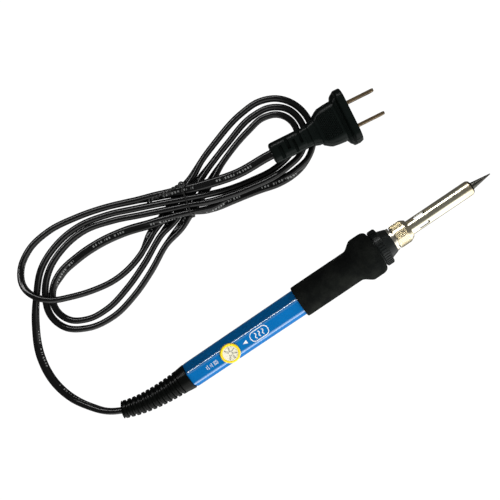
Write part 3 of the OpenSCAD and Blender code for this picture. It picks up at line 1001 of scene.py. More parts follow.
@dataclass
class Studio:
    """A light table, soft light and the camera, looking straight down."""

    eye: Point = (-9.7, 35.5, 462.0)
    turn: float = math.radians(-34.14)
    lens: float = 64.9

    def camera(self) -> None:
        """Make the camera."""
        data = bpy.data.cameras.new("camera")
        data.lens = self.lens
        data.sensor_width = 36.0
        data.clip_start, data.clip_end = 0.01, 10.0
        eye = bpy.data.objects.new("camera", data)
        eye.location = Vector(self.eye) * MM
        eye.rotation_euler = (0.0, 0.0, self.turn)
        bpy.context.scene.collection.objects.link(eye)
        bpy.context.scene.camera = eye

    def lamp(self, name: str, place: Point, size: Flat, power: float, tone: Rgb, soft: bool = True) -> None:
        """One soft light aimed at the middle of the part.

        Args:
            name: the light's name.
            place: where it hangs, in metres.
            size: its length along the part and its height, in metres.
            power: in watts.
            tone: its colour.
            soft: whether it lights surfaces without a glint, or is only a glint.
        """
        data = bpy.data.lights.new(name, "AREA")
        data.shape, data.energy, data.color = "RECTANGLE", power, tone
        data.size, data.size_y = size
        light = bpy.data.objects.new(name, data)
        light.location = place
        light.visible_diffuse, light.visible_glossy = soft, not soft
        light.rotation_euler = (Vector((0, 0.03, 0)) - Vector(place)).to_track_quat("-Z", "Y").to_euler()
        bpy.context.scene.collection.objects.link(light)

    def light(self) -> None:
        """Three soft lamps, a thin strip that only glints, and a world that is dark on the far side."""
        self.lamp("key", (0.18, -0.70, 0.62), (0.7, 0.40), 5.8, (1.0, 0.99, 0.965))
        self.lamp("fill", (-0.1, 0.80, 0.60), (0.6, 0.40), 2.1, (0.97, 0.99, 1.0))
        self.lamp("strip", (0.0, 0.79, 0.61), (1.3, 0.14), 10.0, (1.0, 1.0, 1.0), False)
        self.lamp("end", (0.85, 0.25, 0.30), (0.35, 0.35), 1.2, (1.0, 0.98, 0.93))
        world = bpy.data.worlds.new("tent")
        bpy.context.scene.world = world
        world.use_nodes = True
        world.node_tree.nodes.clear()
        g = Graph(world.node_tree)
        way = g.node("ShaderNodeTexCoord")
        parts = g.node("ShaderNodeSeparateXYZ", {0: way.outputs["Generated"]})
        y, z = Wire(g.tree, parts.outputs[1]), Wire(g.tree, parts.outputs[2])
        near, far = (0 - y).ease(0.42, 0.72) * z.ease(-0.8, -0.4), y.ease(0.05, 0.5)
        tone = near * 2.1 - far * 0.07 + 0.18
        sky = g.node("ShaderNodeBackground", {"Color": (1.0, 1.0, 0.985, 1.0), "Strength": tone})
        g.node("ShaderNodeOutputWorld", {0: sky.outputs[0]})
        bpy.context.scene.view_settings.view_transform = "Standard"

    def floor(self) -> None:
        """A plain table and far walls, lit from within so that nothing casts a shadow on them."""
        half, wall = 3000.0, 5000.0
        square = ((-half, -half), (half, -half), (half, half), (-half, half))
        sheet = Shape([Vector((x, y, z)) for z in (-0.3, wall) for x, y in square])
        sheet.faces = [(0, 1, 2, 3), *((k, k + 4, (k + 1) % 4 + 4, (k + 1) % 4) for k in range(4))]
        piece = new_piece("floor", sheet, Matrix.Identity(4),
            Printed("floor_white", (0.0, 0.0, 0.0), roughness=1.0, specular=0.0, glow=1.05))
        piece.visible_diffuse = piece.visible_glossy = piece.visible_shadow = False


# ---------------------------------------------------------------- mains lead


@dataclass
class Lead:
    """Flat twin cord from the boot, through a tied hank of three turns, to the plug."""

    route: Sequence[tuple[float, float, float, float]] = ()
    straight: float = 0.9
    edge: float = 1.6
    dent: float = 0.22
    step: float = 1.5
    flat_width: float = 5.0
    tie_centre: Point = (-22.2, 74.2, 5.5)
    tie_turn: float = math.radians(-11)
    tie_half: Flat = (8.6, 5.0)
    wire: float = 0.5

    def line(self) -> list[tuple[Vector, Vector, float]]:
        """Follow the route smoothly.

        Returns:
            Place, direction and roll in radians, about every step millimetres.
        """
        spots = [Vector(p[:3]) for p in self.route]
        rolls = [math.radians(p[3]) for p in self.route]
        chords = [b - a for a, b in zip(spots, spots[1:])]
        ways = []
        for i in range(len(spots)):
            if i == 0 or i == len(spots) - 1:
                ways.append(chords[min(i, len(chords) - 1)].normalized())
                continue
            before, after = chords[i - 1], chords[i]
            mix = after.normalized() * before.length + before.normalized() * after.length
            ways.append(mix.normalized())
        made = []
        for i, chord in enumerate(chords):
            size = chord.length
            unit = chord / size
            lean = (ways[i].dot(unit) + ways[i + 1].dot(unit)) / 2
            pull = 2 * size / (1 + lean)
            count = max(2, round(size / self.step))
            for k in range(count + (i == len(chords) - 1)):
                t = k / count
                a, b = 2 * t**3 - 3 * t**2 + 1, t**3 - 2 * t**2 + t
                c, d = 3 * t**2 - 2 * t**3, t**3 - t**2
                spot = spots[i] * a + ways[i] * pull * b + spots[i + 1] * c + ways[i + 1] * pull * d
                slope = ((spots[i] - spots[i + 1]) * (6 * t * t - 6 * t)
                         + ways[i] * pull * (3 * t * t - 4 * t + 1))
                slope += ways[i + 1] * pull * (3 * t * t - 2 * t)
                ease = t * t * (3 - 2 * t)
                made.append((spot, slope.normalized(), rolls[i] * (1 - ease) + rolls[i + 1] * ease))
        return made

    def section(self, arc: int = 8) -> list[Flat]:
        """The cord's section: two round edges and a shallow valley between the cores."""
        made = []
        for sign in (1, -1):
            for k in range(arc + 1):
                a = math.pi * k / arc - math.pi / 2
                made.append((sign * (self.straight + self.edge * math.cos(a)),
                    sign * self.edge * math.sin(a)))
            for share in (0.45, 0.0, -0.45):
                dip = self.dent * (1 - abs(share) / 0.9)
                made.append((sign * share * 1.2, sign * (self.edge - dip)))
        return made

    def jacket(self) -> tuple[bpy.types.Object, list[Point]]:
        """Sweep the section along the route.

        Returns:
            The cord's piece and its centreline in metres.
        """
        section = self.section()
        rings, path, tags = [], [], []
        run = 0.0
        last = None
        for spot, along, roll in self.line():
            run += (spot - last).length if last is not None else 0.0
            last = spot
            side = Vector((0, 0, 1)).cross(along).normalized()
            up = along.cross(side)
            wide = math.cos(roll) * side + math.sin(roll) * up
            thin = math.cos(roll) * up - math.sin(roll) * side
            rings.append([spot + wide * w + thin * t for w, t in section])
            tags += [(run, w / (self.flat_width / 2), 1.0 if t > 0 else 0.0) for w, t in section]
            path.append(tuple(spot * MM))
        piece = new_piece("power_cord_jacket", loft(rings), Matrix.Identity(4), CORD, 50.0)
        for k, name in enumerate(("along", "across", "face")):
            layer = piece.data.attributes.new(name, "FLOAT", "POINT")
            layer.data.foreach_set("value", [tag[k] for tag in tags])
        return piece, path

    def tie(self) -> bpy.types.Object:
        """A coated wire round the strands, curled at one corner and knotted at the other."""
        half_w, half_h = self.tie_half
        loop = [Vector((0, u, v)) for u, v in rounded_box(2 * half_w, 2 * half_h, 2.6, 8)]
        loop = [Vector((p.y * 0.06 if p.z > 0 else 0.0, p.y, p.z)) for p in loop]
        shape = tube(loop, self.wire, 14, loop=True)
        curl = [Vector((0.8 + 1.25 * math.cos(a), half_w - 0.6 + 1.25 * math.sin(a),
            half_h - 0.4 + 0.5 * math.sin(a)))
                for a in (math.tau * k / 20 for k in range(20))]
        shape += tube(curl, self.wire, 12, loop=True)
        for phase in (0.0, math.pi):
            twist = []
            for k in range(49):
                s = k / 48
                a = phase + s * 9 * math.pi
                swell = 0.42 + (0.35 * math.sin(math.pi * min(1, (s - 0.8) / 0.2)) if s > 0.8 else 0.0)
                twist.append(Vector((
                    0.4 - 19.0 * s, half_w - 0.2 - 1.2 * s + swell * math.cos(a),
                        half_h - 1.9 - 2.6 * s * s + swell * math.sin(a))))
            shape += tube(twist, self.wire * 0.84, 10)
        knot = [Vector((0.75 * math.cos(a), -half_w + 0.2 + 0.6 * math.sin(2 * a),
            half_h - 1.4 + 0.75 * math.sin(a)))
                for a in (math.tau * k / 28 for k in range(28))]
        shape += tube(knot, self.wire * 1.05, 12, loop=True)
        place = Matrix.Translation(self.tie_centre) @ Matrix.Rotation(self.tie_turn, 4, "Z")
        return new_piece("tie_wire", shape, place, TIE, 60.0)

    def build(self, companions: Sequence[Any]) -> None:
        """Args:
            companions: other pieces and nodes on the cord, such as the plug's; not used.
        """
        piece, path = self.jacket()
        carry(piece, Body.IRON, "cord_black", "power_cord")
        wire = self.tie()
        carry(wire, Body.IRON, "tie_black", "cord_tie")


# ---------------------------------------------------------------- plug


@dataclass
class Plug:
    """Moulded two-blade plug: slotted relief, neck, body with studded panels, and a wide face."""

    place: Point = (26.3, 69.05, 10.0)
    turn: float = math.radians(-7.65)
    face: float = 43.8
    spacing: float = 12.7
    blade: Point = (15.9, 1.5, 6.3)
    slope: float = math.atan2(3.05, 10.4)
    # station, half width, half height, corner radius
    stations: Sequence[tuple[float, float, float, float]] = (
        (0.0, 4.3, 3.2, 2.6), (0.25, 4.9, 3.8, 3.0), (0.8, 5.35, 4.2, 3.3), (1.6, 5.5, 4.4, 3.5),
            (17.2, 5.5, 4.4, 3.5),
        (17.9, 5.4, 4.3, 3.4), (18.15, 5.3, 3.1, 2.6), (21.0, 5.5, 3.1, 2.6), (21.25, 5.75, 4.3, 3.4),
        (21.7, 6.0, 4.4, 3.5), (23.9, 6.7, 4.4, 3.5), (24.35, 6.8, 4.25, 3.5), (24.55, 6.7, 3.85, 3.2),
        (25.3, 6.9, 3.85, 3.2), (25.5, 7.5, 4.2, 3.6), (25.9, 7.95, 4.35, 3.7), (26.6, 8.4, 4.55, 3.8),
        (28.0, 9.4, 4.95, 3.9), (29.6, 10.2, 5.4, 4.0), (33.0, 10.6, 6.4, 4.2), (36.6, 10.8, 7.42, 4.4),
        (37.1, 10.75, 7.4, 4.4), (37.35, 10.7, 7.0, 4.3), (37.55, 11.4, 5.5, 4.2), (38.2, 12.8, 5.5, 4.3),
        (38.9, 13.5, 5.7, 4.6), (39.5, 13.8, 6.0, 4.8), (39.75, 14.0, 8.9, 5.2), (40.1, 14.25, 9.5, 5.4),
        (40.6, 14.4, 9.8, 5.5), (43.1, 14.4, 9.85, 5.5), (43.6, 14.2, 9.65, 5.4), (43.8, 13.8, 9.3, 5.2),
    )
    slots: Sequence[tuple[float, float, int]] = ((3.9, 5.9, -1), (11.6, 13.1, -1), (8.1, 9.9, 1),
        (15.3, 16.8, 1))

    def frame(self) -> Matrix:
        """The plug's axes, x to its blades, in millimetres."""
        return Matrix.Translation(self.place) @ Matrix.Rotation(self.turn, 4, "Z")

    def panel(self, side: int) -> Matrix:
        """The sloping grip panel on the top (1) or underside (-1)."""
        seat = Matrix.Translation((31.6, 0, 5.975))
        tilt = seat @ Matrix.Rotation(-self.slope, 4, "Y")
        return self.frame() @ (tilt if side > 0 else Matrix.Rotation(math.pi, 4, "X") @ tilt)

    def body(self) -> bpy.types.Object:
        """Loft the body and cut its slots and panels."""
        rings = []
        for x, half_w, half_h, radius in self.stations:
            rings.append([Vector((x, y, z)) for y, z in rounded_box(2 * half_w, 2 * half_h, radius, 8)])
        piece = new_piece("plug_moulding", loft(rings), self.frame(), PLUG, 28.0)
        cutters = []
        for x0, x1, side in self.slots:
            ends = sorted((side * -1.9, side * 7.0))
            outline = soften(((x0, ends[0]), (x1, ends[0]), (x1, ends[1]), (x0, ends[1])), 0.5, True)
            cutters += [slab(outline, 2.7, 6.0), slab(outline, -6.0, -2.7)]
        window = soften(rounded_box(9.4, 13.6, 1.2, 4), 0.01, True, 1)
        for side in (1, -1):
            turned = self.frame().inverted() @ self.panel(side)
            cutters.append(slab(window, -0.4, 2.5).moved(turned))
        carve(piece, cutters, self.frame(), 28.0)
        return piece

    def studs(self) -> list[bpy.types.Object]:
        """Fill both panels with staggered studs."""
        ring = [(math.cos(a), math.sin(a)) for a in (math.tau * k / 6 for k in range(6))]
        seed = loft([[Vector((r * c, r * s, z)) for c, s in ring] for r,
            z in ((0.40, -0.5), (0.36, -0.16), (0.2, -0.02))])
        made = []
        for side, name in ((1, "plug_studs_top"), (-1, "plug_studs_under")):
            values = {"Columns": 10, "Rows": 13, "Pitch X": 0.88, "Pitch Y": 0.98}
            made.append(STUDS.apply(name, seed, PLUG, self.panel(side), values, 25.0))
        return made

    def blades(self) -> bpy.types.Object:
        """Two blades with rounded ends and a hole near each end."""
        length, thick, height = self.blade
        half = height / 2
        outline = [(37.0, -half), (self.face + length - 1.6, -half), (self.face + length, -half + 1.3),
                   (self.face + length, half - 1.3), (self.face + length - 1.6, half), (37.0, half)]
        outline = soften(outline, 0.6, True)
        upright = Matrix.Rotation(math.pi / 2, 4, "X")
        shape, cutters = Shape(), []
        for side in (-1, 1):
            y = side * self.spacing / 2
            bar = loft([
                [Vector((x if abs(x - 37) < 0.01 else x - inset, v * (1 - inset / half), w)) for x,
                    v in outline]
                for w,
                    inset in ((-thick / 2, 0.16), (-thick / 2 + 0.14, 0.0), (thick / 2 - 0.14, 0.0),
                        (thick / 2, 0.16))])
            shape += bar.moved(Matrix.Translation((0, y, 0)) @ upright)
            hole = slab([(55.8 + 1.6 * math.cos(a),
                1.6 * math.sin(a)) for a in (math.tau * k / 40 for k in range(40))], -2, 2)
            cutters.append(hole.moved(Matrix.Translation((0, y, 0)) @ upright))
        piece = new_piece("plug_blade_pair", shape, self.frame(), BLADE, 30.0)
        carve(piece, cutters, self.frame(), 30.0)
        return piece

    def build(self) -> list[Any]:
        """Make the plug.

        Returns:
            What lies on the cord's far end.
        """
        body = carry(self.body(), Body.IRON, "plug_black", "plug_body")
        studs = [carry(piece, Body.IRON, "plug_black") for piece in self.studs()]
        blades = carry(self.blades(), Body.IRON, "blade_brass", "plug_blades")
        return [body, *studs, blades, "plug_bridge", "plug_leads"]


# ---------------------------------------------------------------- boot


@dataclass
class Boot:
    """Ribbed boot behind the handle, bent a little to one side."""

    length: float = 38.5
    flex: float = math.radians(21)
    pitch: float = 2.75
    first: float = 5.3
    ribs: int = 12
    depth: float = 0.85
    bore: float = 2.75

    def centre(self, s: float) -> tuple[Vector, float]:
        """Middle line at a distance s behind the handle, and its turn."""
        if s <= 0:
            return Vector((-s, 0, 0)), 0.0
        turn = self.flex * (s / self.length) ** 2
        return Vector((-s * (1 - turn**2 / 10), self.flex * s**3 / (3 * self.length**2), 0)), turn

    def build(self) -> None:
        """Sweep the skin down the outside and back through the cord's hole, then sink the ribs."""
        end = self.first + self.ribs * self.pitch
        skin = [(-5.0, 4.9), (-4.9, 5.2), (-3.1, 5.2), (-3.0, 5.1), (-3.0, 4.5), (0.0, 4.5), (0.0, 6.35),
            (0.12, 6.62),
                (0.4, 6.75), (2.5, 6.55), (4.6, 6.28), (5.0, 6.2)]
        fine = [self.first + self.pitch * k / 20 for k in range(20 * self.ribs + 1)]
        skin += [(s, 6.28 - 0.0527 * (s - self.first)) for s in fine]
        skin += [(end + 0.1, 4.2), (self.length - 0.15, 4.15), (self.length, 3.95)]
        skin += [(s, self.bore) for s in (self.length, 34, 29, 23, 16, 8, -5)]
        sides = 72
        rings, stations, outs = [], [], []
        for s, r in skin:
            middle, turn = self.centre(s)
            ring = []
            for k in range(sides):
                q = math.tau * k / sides
                out = Vector((math.cos(q) * math.sin(turn), math.cos(q) * math.cos(turn), math.sin(q)))
                ring.append(middle + r * out)
                outs += list(out)
                stations.append(s if r > self.bore else -9.0)
            rings.append(ring)
        values = {"Pitch": self.pitch, "Depth": self.depth, "First": self.first, "Last": end}
        piece = RIBS.apply(
            "cord_boot", loft(rings, loop=True), BOOT, REST.iron(), values, 50.0,
                {"station": stations, "out": outs})
        carry(piece, Body.IRON, "boot_black", "strain_relief")


# ---------------------------------------------------------------- handle


@dataclass
class Handle:
    """Six-sided blue handle with soft corners, a seat for the dial, and printed marks."""

    length: float = 112.0
    flat: float = 6.45
    corner: float = 1.28
    narrow: float = REAR_TAPER
    grip_start: float = GRIP_START
    dial_x: float = 24.3

    def taper(self, x: float) -> float:
        """Share of the full section at a station."""
        return self.narrow + (1 - self.narrow) * min(1.0, x / self.grip_start)

    def section(self, scale: float) -> list[Flat]:
        """A hexagon with round corners, facet outwards at angle nought."""
        made = []
        reach = (self.flat - self.corner) / math.cos(math.pi / 6)
        for k in range(6):
            facet, bend = k * math.pi / 3, k * math.pi / 3 + math.pi / 6
            middle = Vector((reach * math.cos(bend), reach * math.sin(bend)))
            arc = []
            for j in range(9):
                a = facet + math.pi / 3 * j / 8
                arc.append(middle + self.corner * Vector((math.cos(a), math.sin(a))))
            lead = Vector((-math.sin(facet), math.cos(facet))) * 0.5
            tail = Vector((-math.sin(facet + math.pi / 3), math.cos(facet + math.pi / 3))) * 0.5
            made += [arc[0] - lead, *arc, arc[-1] + tail]
        return [(p.x * scale, p.y * scale) for p in made]

    def ring(self, x: float, scale: float) -> list[Vector]:
        """A six-sided ring; the first number of the section points out of the dial's facet."""
        return [Vector((x, -v, u)) for u, v in self.section(scale)]

    def bore(self, x: float, radius: float) -> list[Vector]:
        """A round ring whose points match the six-sided ones."""
        made = []
        for u, v in self.section(1.0):
            a = math.atan2(v, u)
            made.append(Vector((x, -radius * math.sin(a), radius * math.cos(a))))
        return made

    def shell(self) -> bpy.types.Object:
        """Outer skin, bore and rear hole as one closed shell with the dial's hole."""
        rear = ((0.0, 0.90), (0.1, 0.935), (0.3, 0.962), (0.6, 0.982), (1.0, 0.994), (1.6, 1.0))
        rings = [self.ring(x, share * self.taper(x)) for x, share in rear]
        rings += [self.ring(x, self.taper(x)) for x in (6, 14, 22, 30, 38, 46, 54, 62, 66.6, 80, 96, 111.7)]
        rings += [self.ring(self.length, 0.985)]
        rings += [self.bore(*spot) for spot in ((self.length, 5.4), (3.0, 5.4), (3.0, 4.6), (0.0, 4.6))]
        shape = loft(rings, loop=True)
        up = Matrix.Rotation(-math.pi / 2, 4, "Y")
        seat = lathe([(5.7, 2.2), (5.7, 4.3), (6.3, 4.5), (6.52, 4.2), (6.52, 2.2)], 64, hollow=True)
        circle = [(2.1 * math.cos(a), 2.1 * math.sin(a)) for a in (math.tau * k / 40 for k in range(40))]
        piece = new_piece("handle_body", shape, REST.facet(), BLUE, 30.0)
        carve(piece, [slab(circle, 4.0, 9.0)], REST.facet(self.dial_x), 30.0)
        ring = new_piece("dial_seat", seat, REST.facet(self.dial_x) @ up, BLUE, 30.0)
        carry(ring, Body.IRON, "handle_blue")
        return piece

    def on_facet(self, x: float) -> Matrix:
        """The facet's surface at a station, leaning with the taper."""
        lean = self.flat * (1 - self.narrow) / self.grip_start
        return REST.facet(x, self.flat * self.taper(x)) @ Matrix.Rotation(-lean, 4, "Y")

    def marks(self) -> bpy.types.Object:
        """Index triangle, a framed heat-waves emblem, and small rating bars."""
        low, high = -0.03, 0.025
        whole = Shape()

        def lay(shape: Shape, x: float) -> None:
            """Add one mark on the facet at a station."""
            nonlocal whole
            whole += shape.moved(self.on_facet(x))

        lay(slab(soften(((-1.25, 0.0), (1.1, -1.05), (1.1, 1.05)), 0.12, True), low, high), 33.3)
        frame = rounded_box(10.0, 5.2, 2.3, 8)
        lay(ribbon(frame, 0.42, low, high, closed=True), 41.7)
        for x in (-2.1, 0.0, 2.1):
            wave = [(x + 0.42 * math.sin(math.tau * v / 2.9),
                v) for v in (-1.5 + 3.0 * k / 20 for k in range(21))]
            lay(ribbon(wave, 0.46, low, high), 41.7)
        for size in (1.9, 1.1):
            lay(ribbon(rounded_box(size, size, 0.12, 2), 0.16, low, high, closed=True), 15.6)
        for x, length in ((13.3, 2.2), (12.5, 1.5), (11.1, 2.6), (10.3, 1.9)):
            for part in range(3):
                y = (part - 1) * length / 3
                lay(slab(rounded_box(0.42, length / 3 * 0.62, 0.1, 2), low,
                    high).moved(Matrix.Translation((0, y, 0))), x)
        return new_piece("handle_marks", whole, Matrix.Identity(4), WHITE_INK)

    def build(self) -> None:
        """Make the handle and its print."""
        carry(self.shell(), Body.IRON, "handle_blue", "handle_shell")
        carry(self.marks(), Body.IRON, "label_white")


@dataclass
class Dial:
    """Yellow ring with a white face, scale marks and temperatures."""

    x: float = 24.3
    ring: float = 5.05
    face: float = 3.88
    base: float = 6.6
    top: float = 7.6
    print_at: float = 7.5
    temperatures: Sequence[int] = (200, 250, 300, 350, 400, 450)
    spread: float = math.radians(250)

    def numbers(self) -> Shape:
        """The temperatures as solid figures, read outwards along the radius."""
        whole = Shape()
        step = self.spread / (len(self.temperatures) - 1)
        for i, value in enumerate(self.temperatures):
            text = bpy.data.curves.new("figures", "FONT")
            text.body = str(value)
            text.size, text.extrude, text.resolution_u = 1.5, 0.02, 2
            text.align_x, text.align_y = "CENTER", "CENTER"
            holder = bpy.data.objects.new("figures", text)
            bpy.context.scene.collection.objects.link(holder)
            graph = bpy.context.evaluated_depsgraph_get()
            mesh = bpy.data.meshes.new_from_object(holder.evaluated_get(graph), depsgraph=graph)
            figure = Shape([v.co.copy() for v in mesh.vertices], [tuple(p.vertices) for p in mesh.polygons])
            angle = i * step - self.spread / 2
            turn = Matrix.Rotation(angle, 4, "Z") @ Matrix.Translation((1.75, 0, self.print_at + 0.005))
            whole += figure.moved(turn)
            bpy.data.objects.remove(holder, do_unlink=True)
            bpy.data.meshes.remove(mesh)
            bpy.data.curves.remove(text)
        return whole

    def build(self) -> None:
        """Make the ring, its serrations, the face and the print."""
        place = REST.facet(self.x)
        up = place @ Matrix.Rotation(-math.pi / 2, 4, "Y")
        outline = [(5.5, 1.55), (5.5, 1.9), (self.base, 1.9), (self.base, self.ring), (7.35, self.ring),
                   (self.top, self.ring - 0.3), (self.top, self.face + 0.08), (7.25, self.face + 0.04),
                       (7.25, 1.55)]
        ring = new_piece("dial_rim", lathe(soften(outline, 0.12, True), 96, hollow=True), up, YELLOW, 40.0)
        carry(ring, Body.DIAL, "dial_yellow", "dial_ring")
        edge = WHEEL.apply(
            "dial_serrations", tooth(0.26, 0.12, 0.16, 0.62, 0.2, 0.1), YELLOW,
                place @ Matrix.Translation((0, 0, 7.0)),
            {"Count": 72, "Radius": self.ring - 0.02, "First": 0.0, "Step": math.tau / 72})
        carry(edge, Body.DIAL, "dial_yellow")
        disc = [(7.25, 0), (7.25, self.face), (7.46, self.face), (self.print_at, self.face - 0.06),
            (self.print_at, 0)]
        face = new_piece("dial_face", lathe(disc, 96), up, FACE, 30.0)
        carry(face, Body.DIAL, "label_white", "dial_label")
        flat = place @ Matrix.Translation((0, 0, self.print_at))
        for name, count, bar in (("dial_minor_marks", 26, (0.45, 0.13)),
            ("dial_major_marks", 6, (0.80, 0.30))):
            dash = slab(rounded_box(bar[0], bar[1], 0.05, 2), -0.03, 0.02)
            marks = WHEEL.apply(name, dash, INK, flat, {
                "Count": count, "Radius": self.face - 0.32 - bar[0] / 2, "First": -self.spread / 2,
                "Step": self.spread / (count - 1)})
            carry(marks, Body.DIAL, "label_white")
        carry(new_piece("dial_numbers", self.numbers(), place, INK), Body.DIAL, "label_white")


# ---------------------------------------------------------------- grip and nose


@dataclass
class Grip:
    """Foam sleeve with a finger guard at the front."""

    start: float = GRIP_START
    end: float = 113.0
    bore: float = 7.35
    radius: float = 8.42
    guard: float = 11.7

    def outline(self) -> list[Flat]:
        """Stations and radii round the sleeve's wall."""
        made = [(self.start, self.bore), (self.start, 7.75), (66.75, 8.1), (67.1, 8.32), (67.7, self.radius)]
        made += [(67.7 + 30.8 * k / 22, self.radius) for k in range(1, 23)]
        for k in range(1, 13):
            rise = (1 - math.cos(math.pi * k / 12)) / 2
            made.append((98.5 + 6.5 * k / 12, self.radius + (self.guard - self.radius) * rise))
        made += [(x, self.guard) for x in (106.2, 107.4, 108.6, 109.6)]
        made += [(110.6, 11.62), (111.4, 11.36), (112.1, 10.98), (112.6, 10.5), (112.9, 10.0),
            (self.end, 9.5)]
        made += [(self.end, 8.7), (104.0, 8.7), (104.0, self.bore)]
        return made

    def build(self) -> None:
        """Turn the sleeve, then let its skin swell and sink very slightly."""

        shape = lathe(self.outline(), 128, hollow=True)
        for p in shape.points:
            radius = math.hypot(p.y, p.z)
            if radius > 8.0 and p.x < self.end - 0.2:
                swell = 1 + 0.006 * noise.noise(p * 0.22) + 0.0035 * noise.noise(p * 0.9)
                swell = min(swell, self.guard / radius)
                p.y *= swell
                p.z *= swell
        piece = new_piece("grip_sleeve", shape, REST.iron(), FOAM, 50.0)
        carry(piece, Body.IRON, "grip_foam", "foam_grip")


@dataclass
class Nose:
    """Black nose cap: a grooved collar, then a smooth tapered ring."""

    collar: Flat = (113.6, 117.6)
    radius: float = 9.6
    ribs: int = 42

    def build(self) -> None:
        """Turn the cap and set the ribs of the collar round it."""
        back, front = self.collar
        outline = [(104.2, 7.35), (104.2, 8.6), (back, 8.6), (back, self.radius), (front, self.radius),
            (front, 8.3),
                   (118.0, 7.7), (121.7, 6.5), (122.0, 6.3), (122.0, 4.4), (113.2, 4.4), (113.2, 7.35)]
        cap = new_piece("nose_shell", lathe(soften(outline, 0.3, True), 128, hollow=True), REST.iron(), NOSE)
        carry(cap, Body.IRON, "nose_black", "nose_cap")
        axle = REST.iron() @ Matrix.Translation(((back + front) / 2, 0, 0)) @ Matrix.Rotation(math.pi / 2,
            4, "Y")
        ribs = WHEEL.apply("nose_grooves", tooth(0.80, 0.45, 0.36, 3.6, 0.3, 0.3), NOSE, axle, {
            "Count": self.ribs, "Radius": self.radius - 0.04, "First": 0.0, "Step": math.tau / self.ribs})
        carry(ribs, Body.IRON, "nose_black")


# ---------------------------------------------------------------- hot end


@dataclass
class HotEnd:
    """Knurled nut, slotted barrel and conical tip."""

    nut: Flat = (124.0, 132.6)
    nut_radius: float = 5.98
    knurls: int = 46
    barrel: Flat = (126.1, 169.6)
    tube_radius: float = 3.9
    slot: Flat = (136.6, 142.9)
    slot_half: float = 0.95
    point: float = 180.8

    def build_nut(self) -> None:
        """The nut and its straight knurl."""
        back, front = self.nut
        outline = [(back, 4.75), (back, 5.85), (124.35, self.nut_radius), (130.45, self.nut_radius),
            (130.8, 5.85),
                   (front - 0.15, 4.85), (front, 4.6), (front, 4.05), (127.4, 4.05), (127.4, 5.2),
                       (126.0, 5.2),
                   (126.0, 4.75)]
        body = new_piece("nut_body", lathe(soften(outline, 0.15, True, 2), 128, hollow=True), REST.iron(),
            NICKEL)
        carry(body, Body.NUT, "nut_nickel", "retaining_nut")
        axle = REST.iron() @ Matrix.Translation((127.4, 0, 0)) @ Matrix.Rotation(math.pi / 2, 4, "Y")
        knurl = WHEEL.apply("nut_knurl", tooth(0.60, 0.18, 0.26, 6.0, 0.25, 0.22), NICKEL, axle, {
            "Count": self.knurls, "Radius": self.nut_radius - 0.06, "First": 0.0,
                "Step": math.tau / self.knurls})
        carry(knurl, Body.NUT, "nut_nickel")

    def build_barrel(self) -> None:
        """The tube with its four slots, and the tip inside it."""
        back, front = self.barrel
        r = self.tube_radius
        outline = [(back, 3.35), (back, 5.0), (back + 1.2, 5.0), (back + 1.2, r), (front - 1.9, r),
            (front - 1.3, r - 0.08),
                   (front - 0.7, r - 0.34), (front - 0.25, r - 0.75), (front, r - 1.15), (front, 2.45),
                       (front - 1.4, 2.45),
                   (front - 1.4, 3.35)]
        tube_piece = new_piece("barrel_tube", lathe(soften(outline, 0.12, True, 2), 128, hollow=True),
            REST.iron(), STEEL, 32.0)
        x0, x1 = self.slot
        half = self.slot_half
        shape = rounded_box(x1 - x0, 2 * half, half - 0.001, 10)
        cutters = [slab(shape, 2.6, 6.0).moved(
            Matrix.Rotation(math.radians(40 + 90 * k), 4, "X") @ Matrix.Translation(((x0 + x1) / 2, 0, 0)))
            for k in range(4)]
        carve(tube_piece, cutters, REST.iron(), 32.0)
        carry(tube_piece, Body.BARREL, "barrel_steel", "barrel")
        tip = [(163, 0), (163, 2.15), (146, 2.15), (146, 3.15), (146.2, 3.2), (166.4, 3.2), (166.5, 3.1),
            (166.5, 2.05),
               (168.8, 2.05), (169.6, 1.95), (179.9, 0.36), (180.45, 0.27), (180.72, 0.15), (self.point, 0)]
        carry(new_piece("tip_cone", lathe(tip, 64), REST.iron(), TIP, 32.0), Body.BARREL, "tip_iron", "tip")

    def build(self) -> None:
        """Make all three."""
        self.build_nut()
        self.build_barrel()


# ---------------------------------------------------------------- nodes that keep their own mesh


@dataclass(frozen=True)
class Kept:
    """Nodes whose mesh is right already and take only a finish."""

    finishes: Mapping[str, Finish]

    def dress(self, nodes: Mapping[str, bpy.types.Object]) -> None:
        """Give each node its finish."""
        for name, finish in self.finishes.items():
            for slot in nodes[name].material_slots:
                slot.material = finish.build()
            LOG.info("%s keeps its mesh and takes %s", name, finish.name)


KEPT = Kept({
    "front_collar": COLLAR, "collar_screws": SCREW, "heater_rod": HEATER_PAINTED_SHADE, "heater_bush": BUSH,
        "heater_leads": LEAD,
    "circuit_board": BOARD, "triac": TRIAC, "board_capacitor": CAPACITOR, "board_resistors": RESISTOR,
    "dial_pot_body": POT, "dial_shaft": SHAFT, "cord_retainer": RETAINER, "cord_leads": COPPER,
        "plug_bridge": BRIDGE,
    "plug_leads": PLUG_COPPER,
})

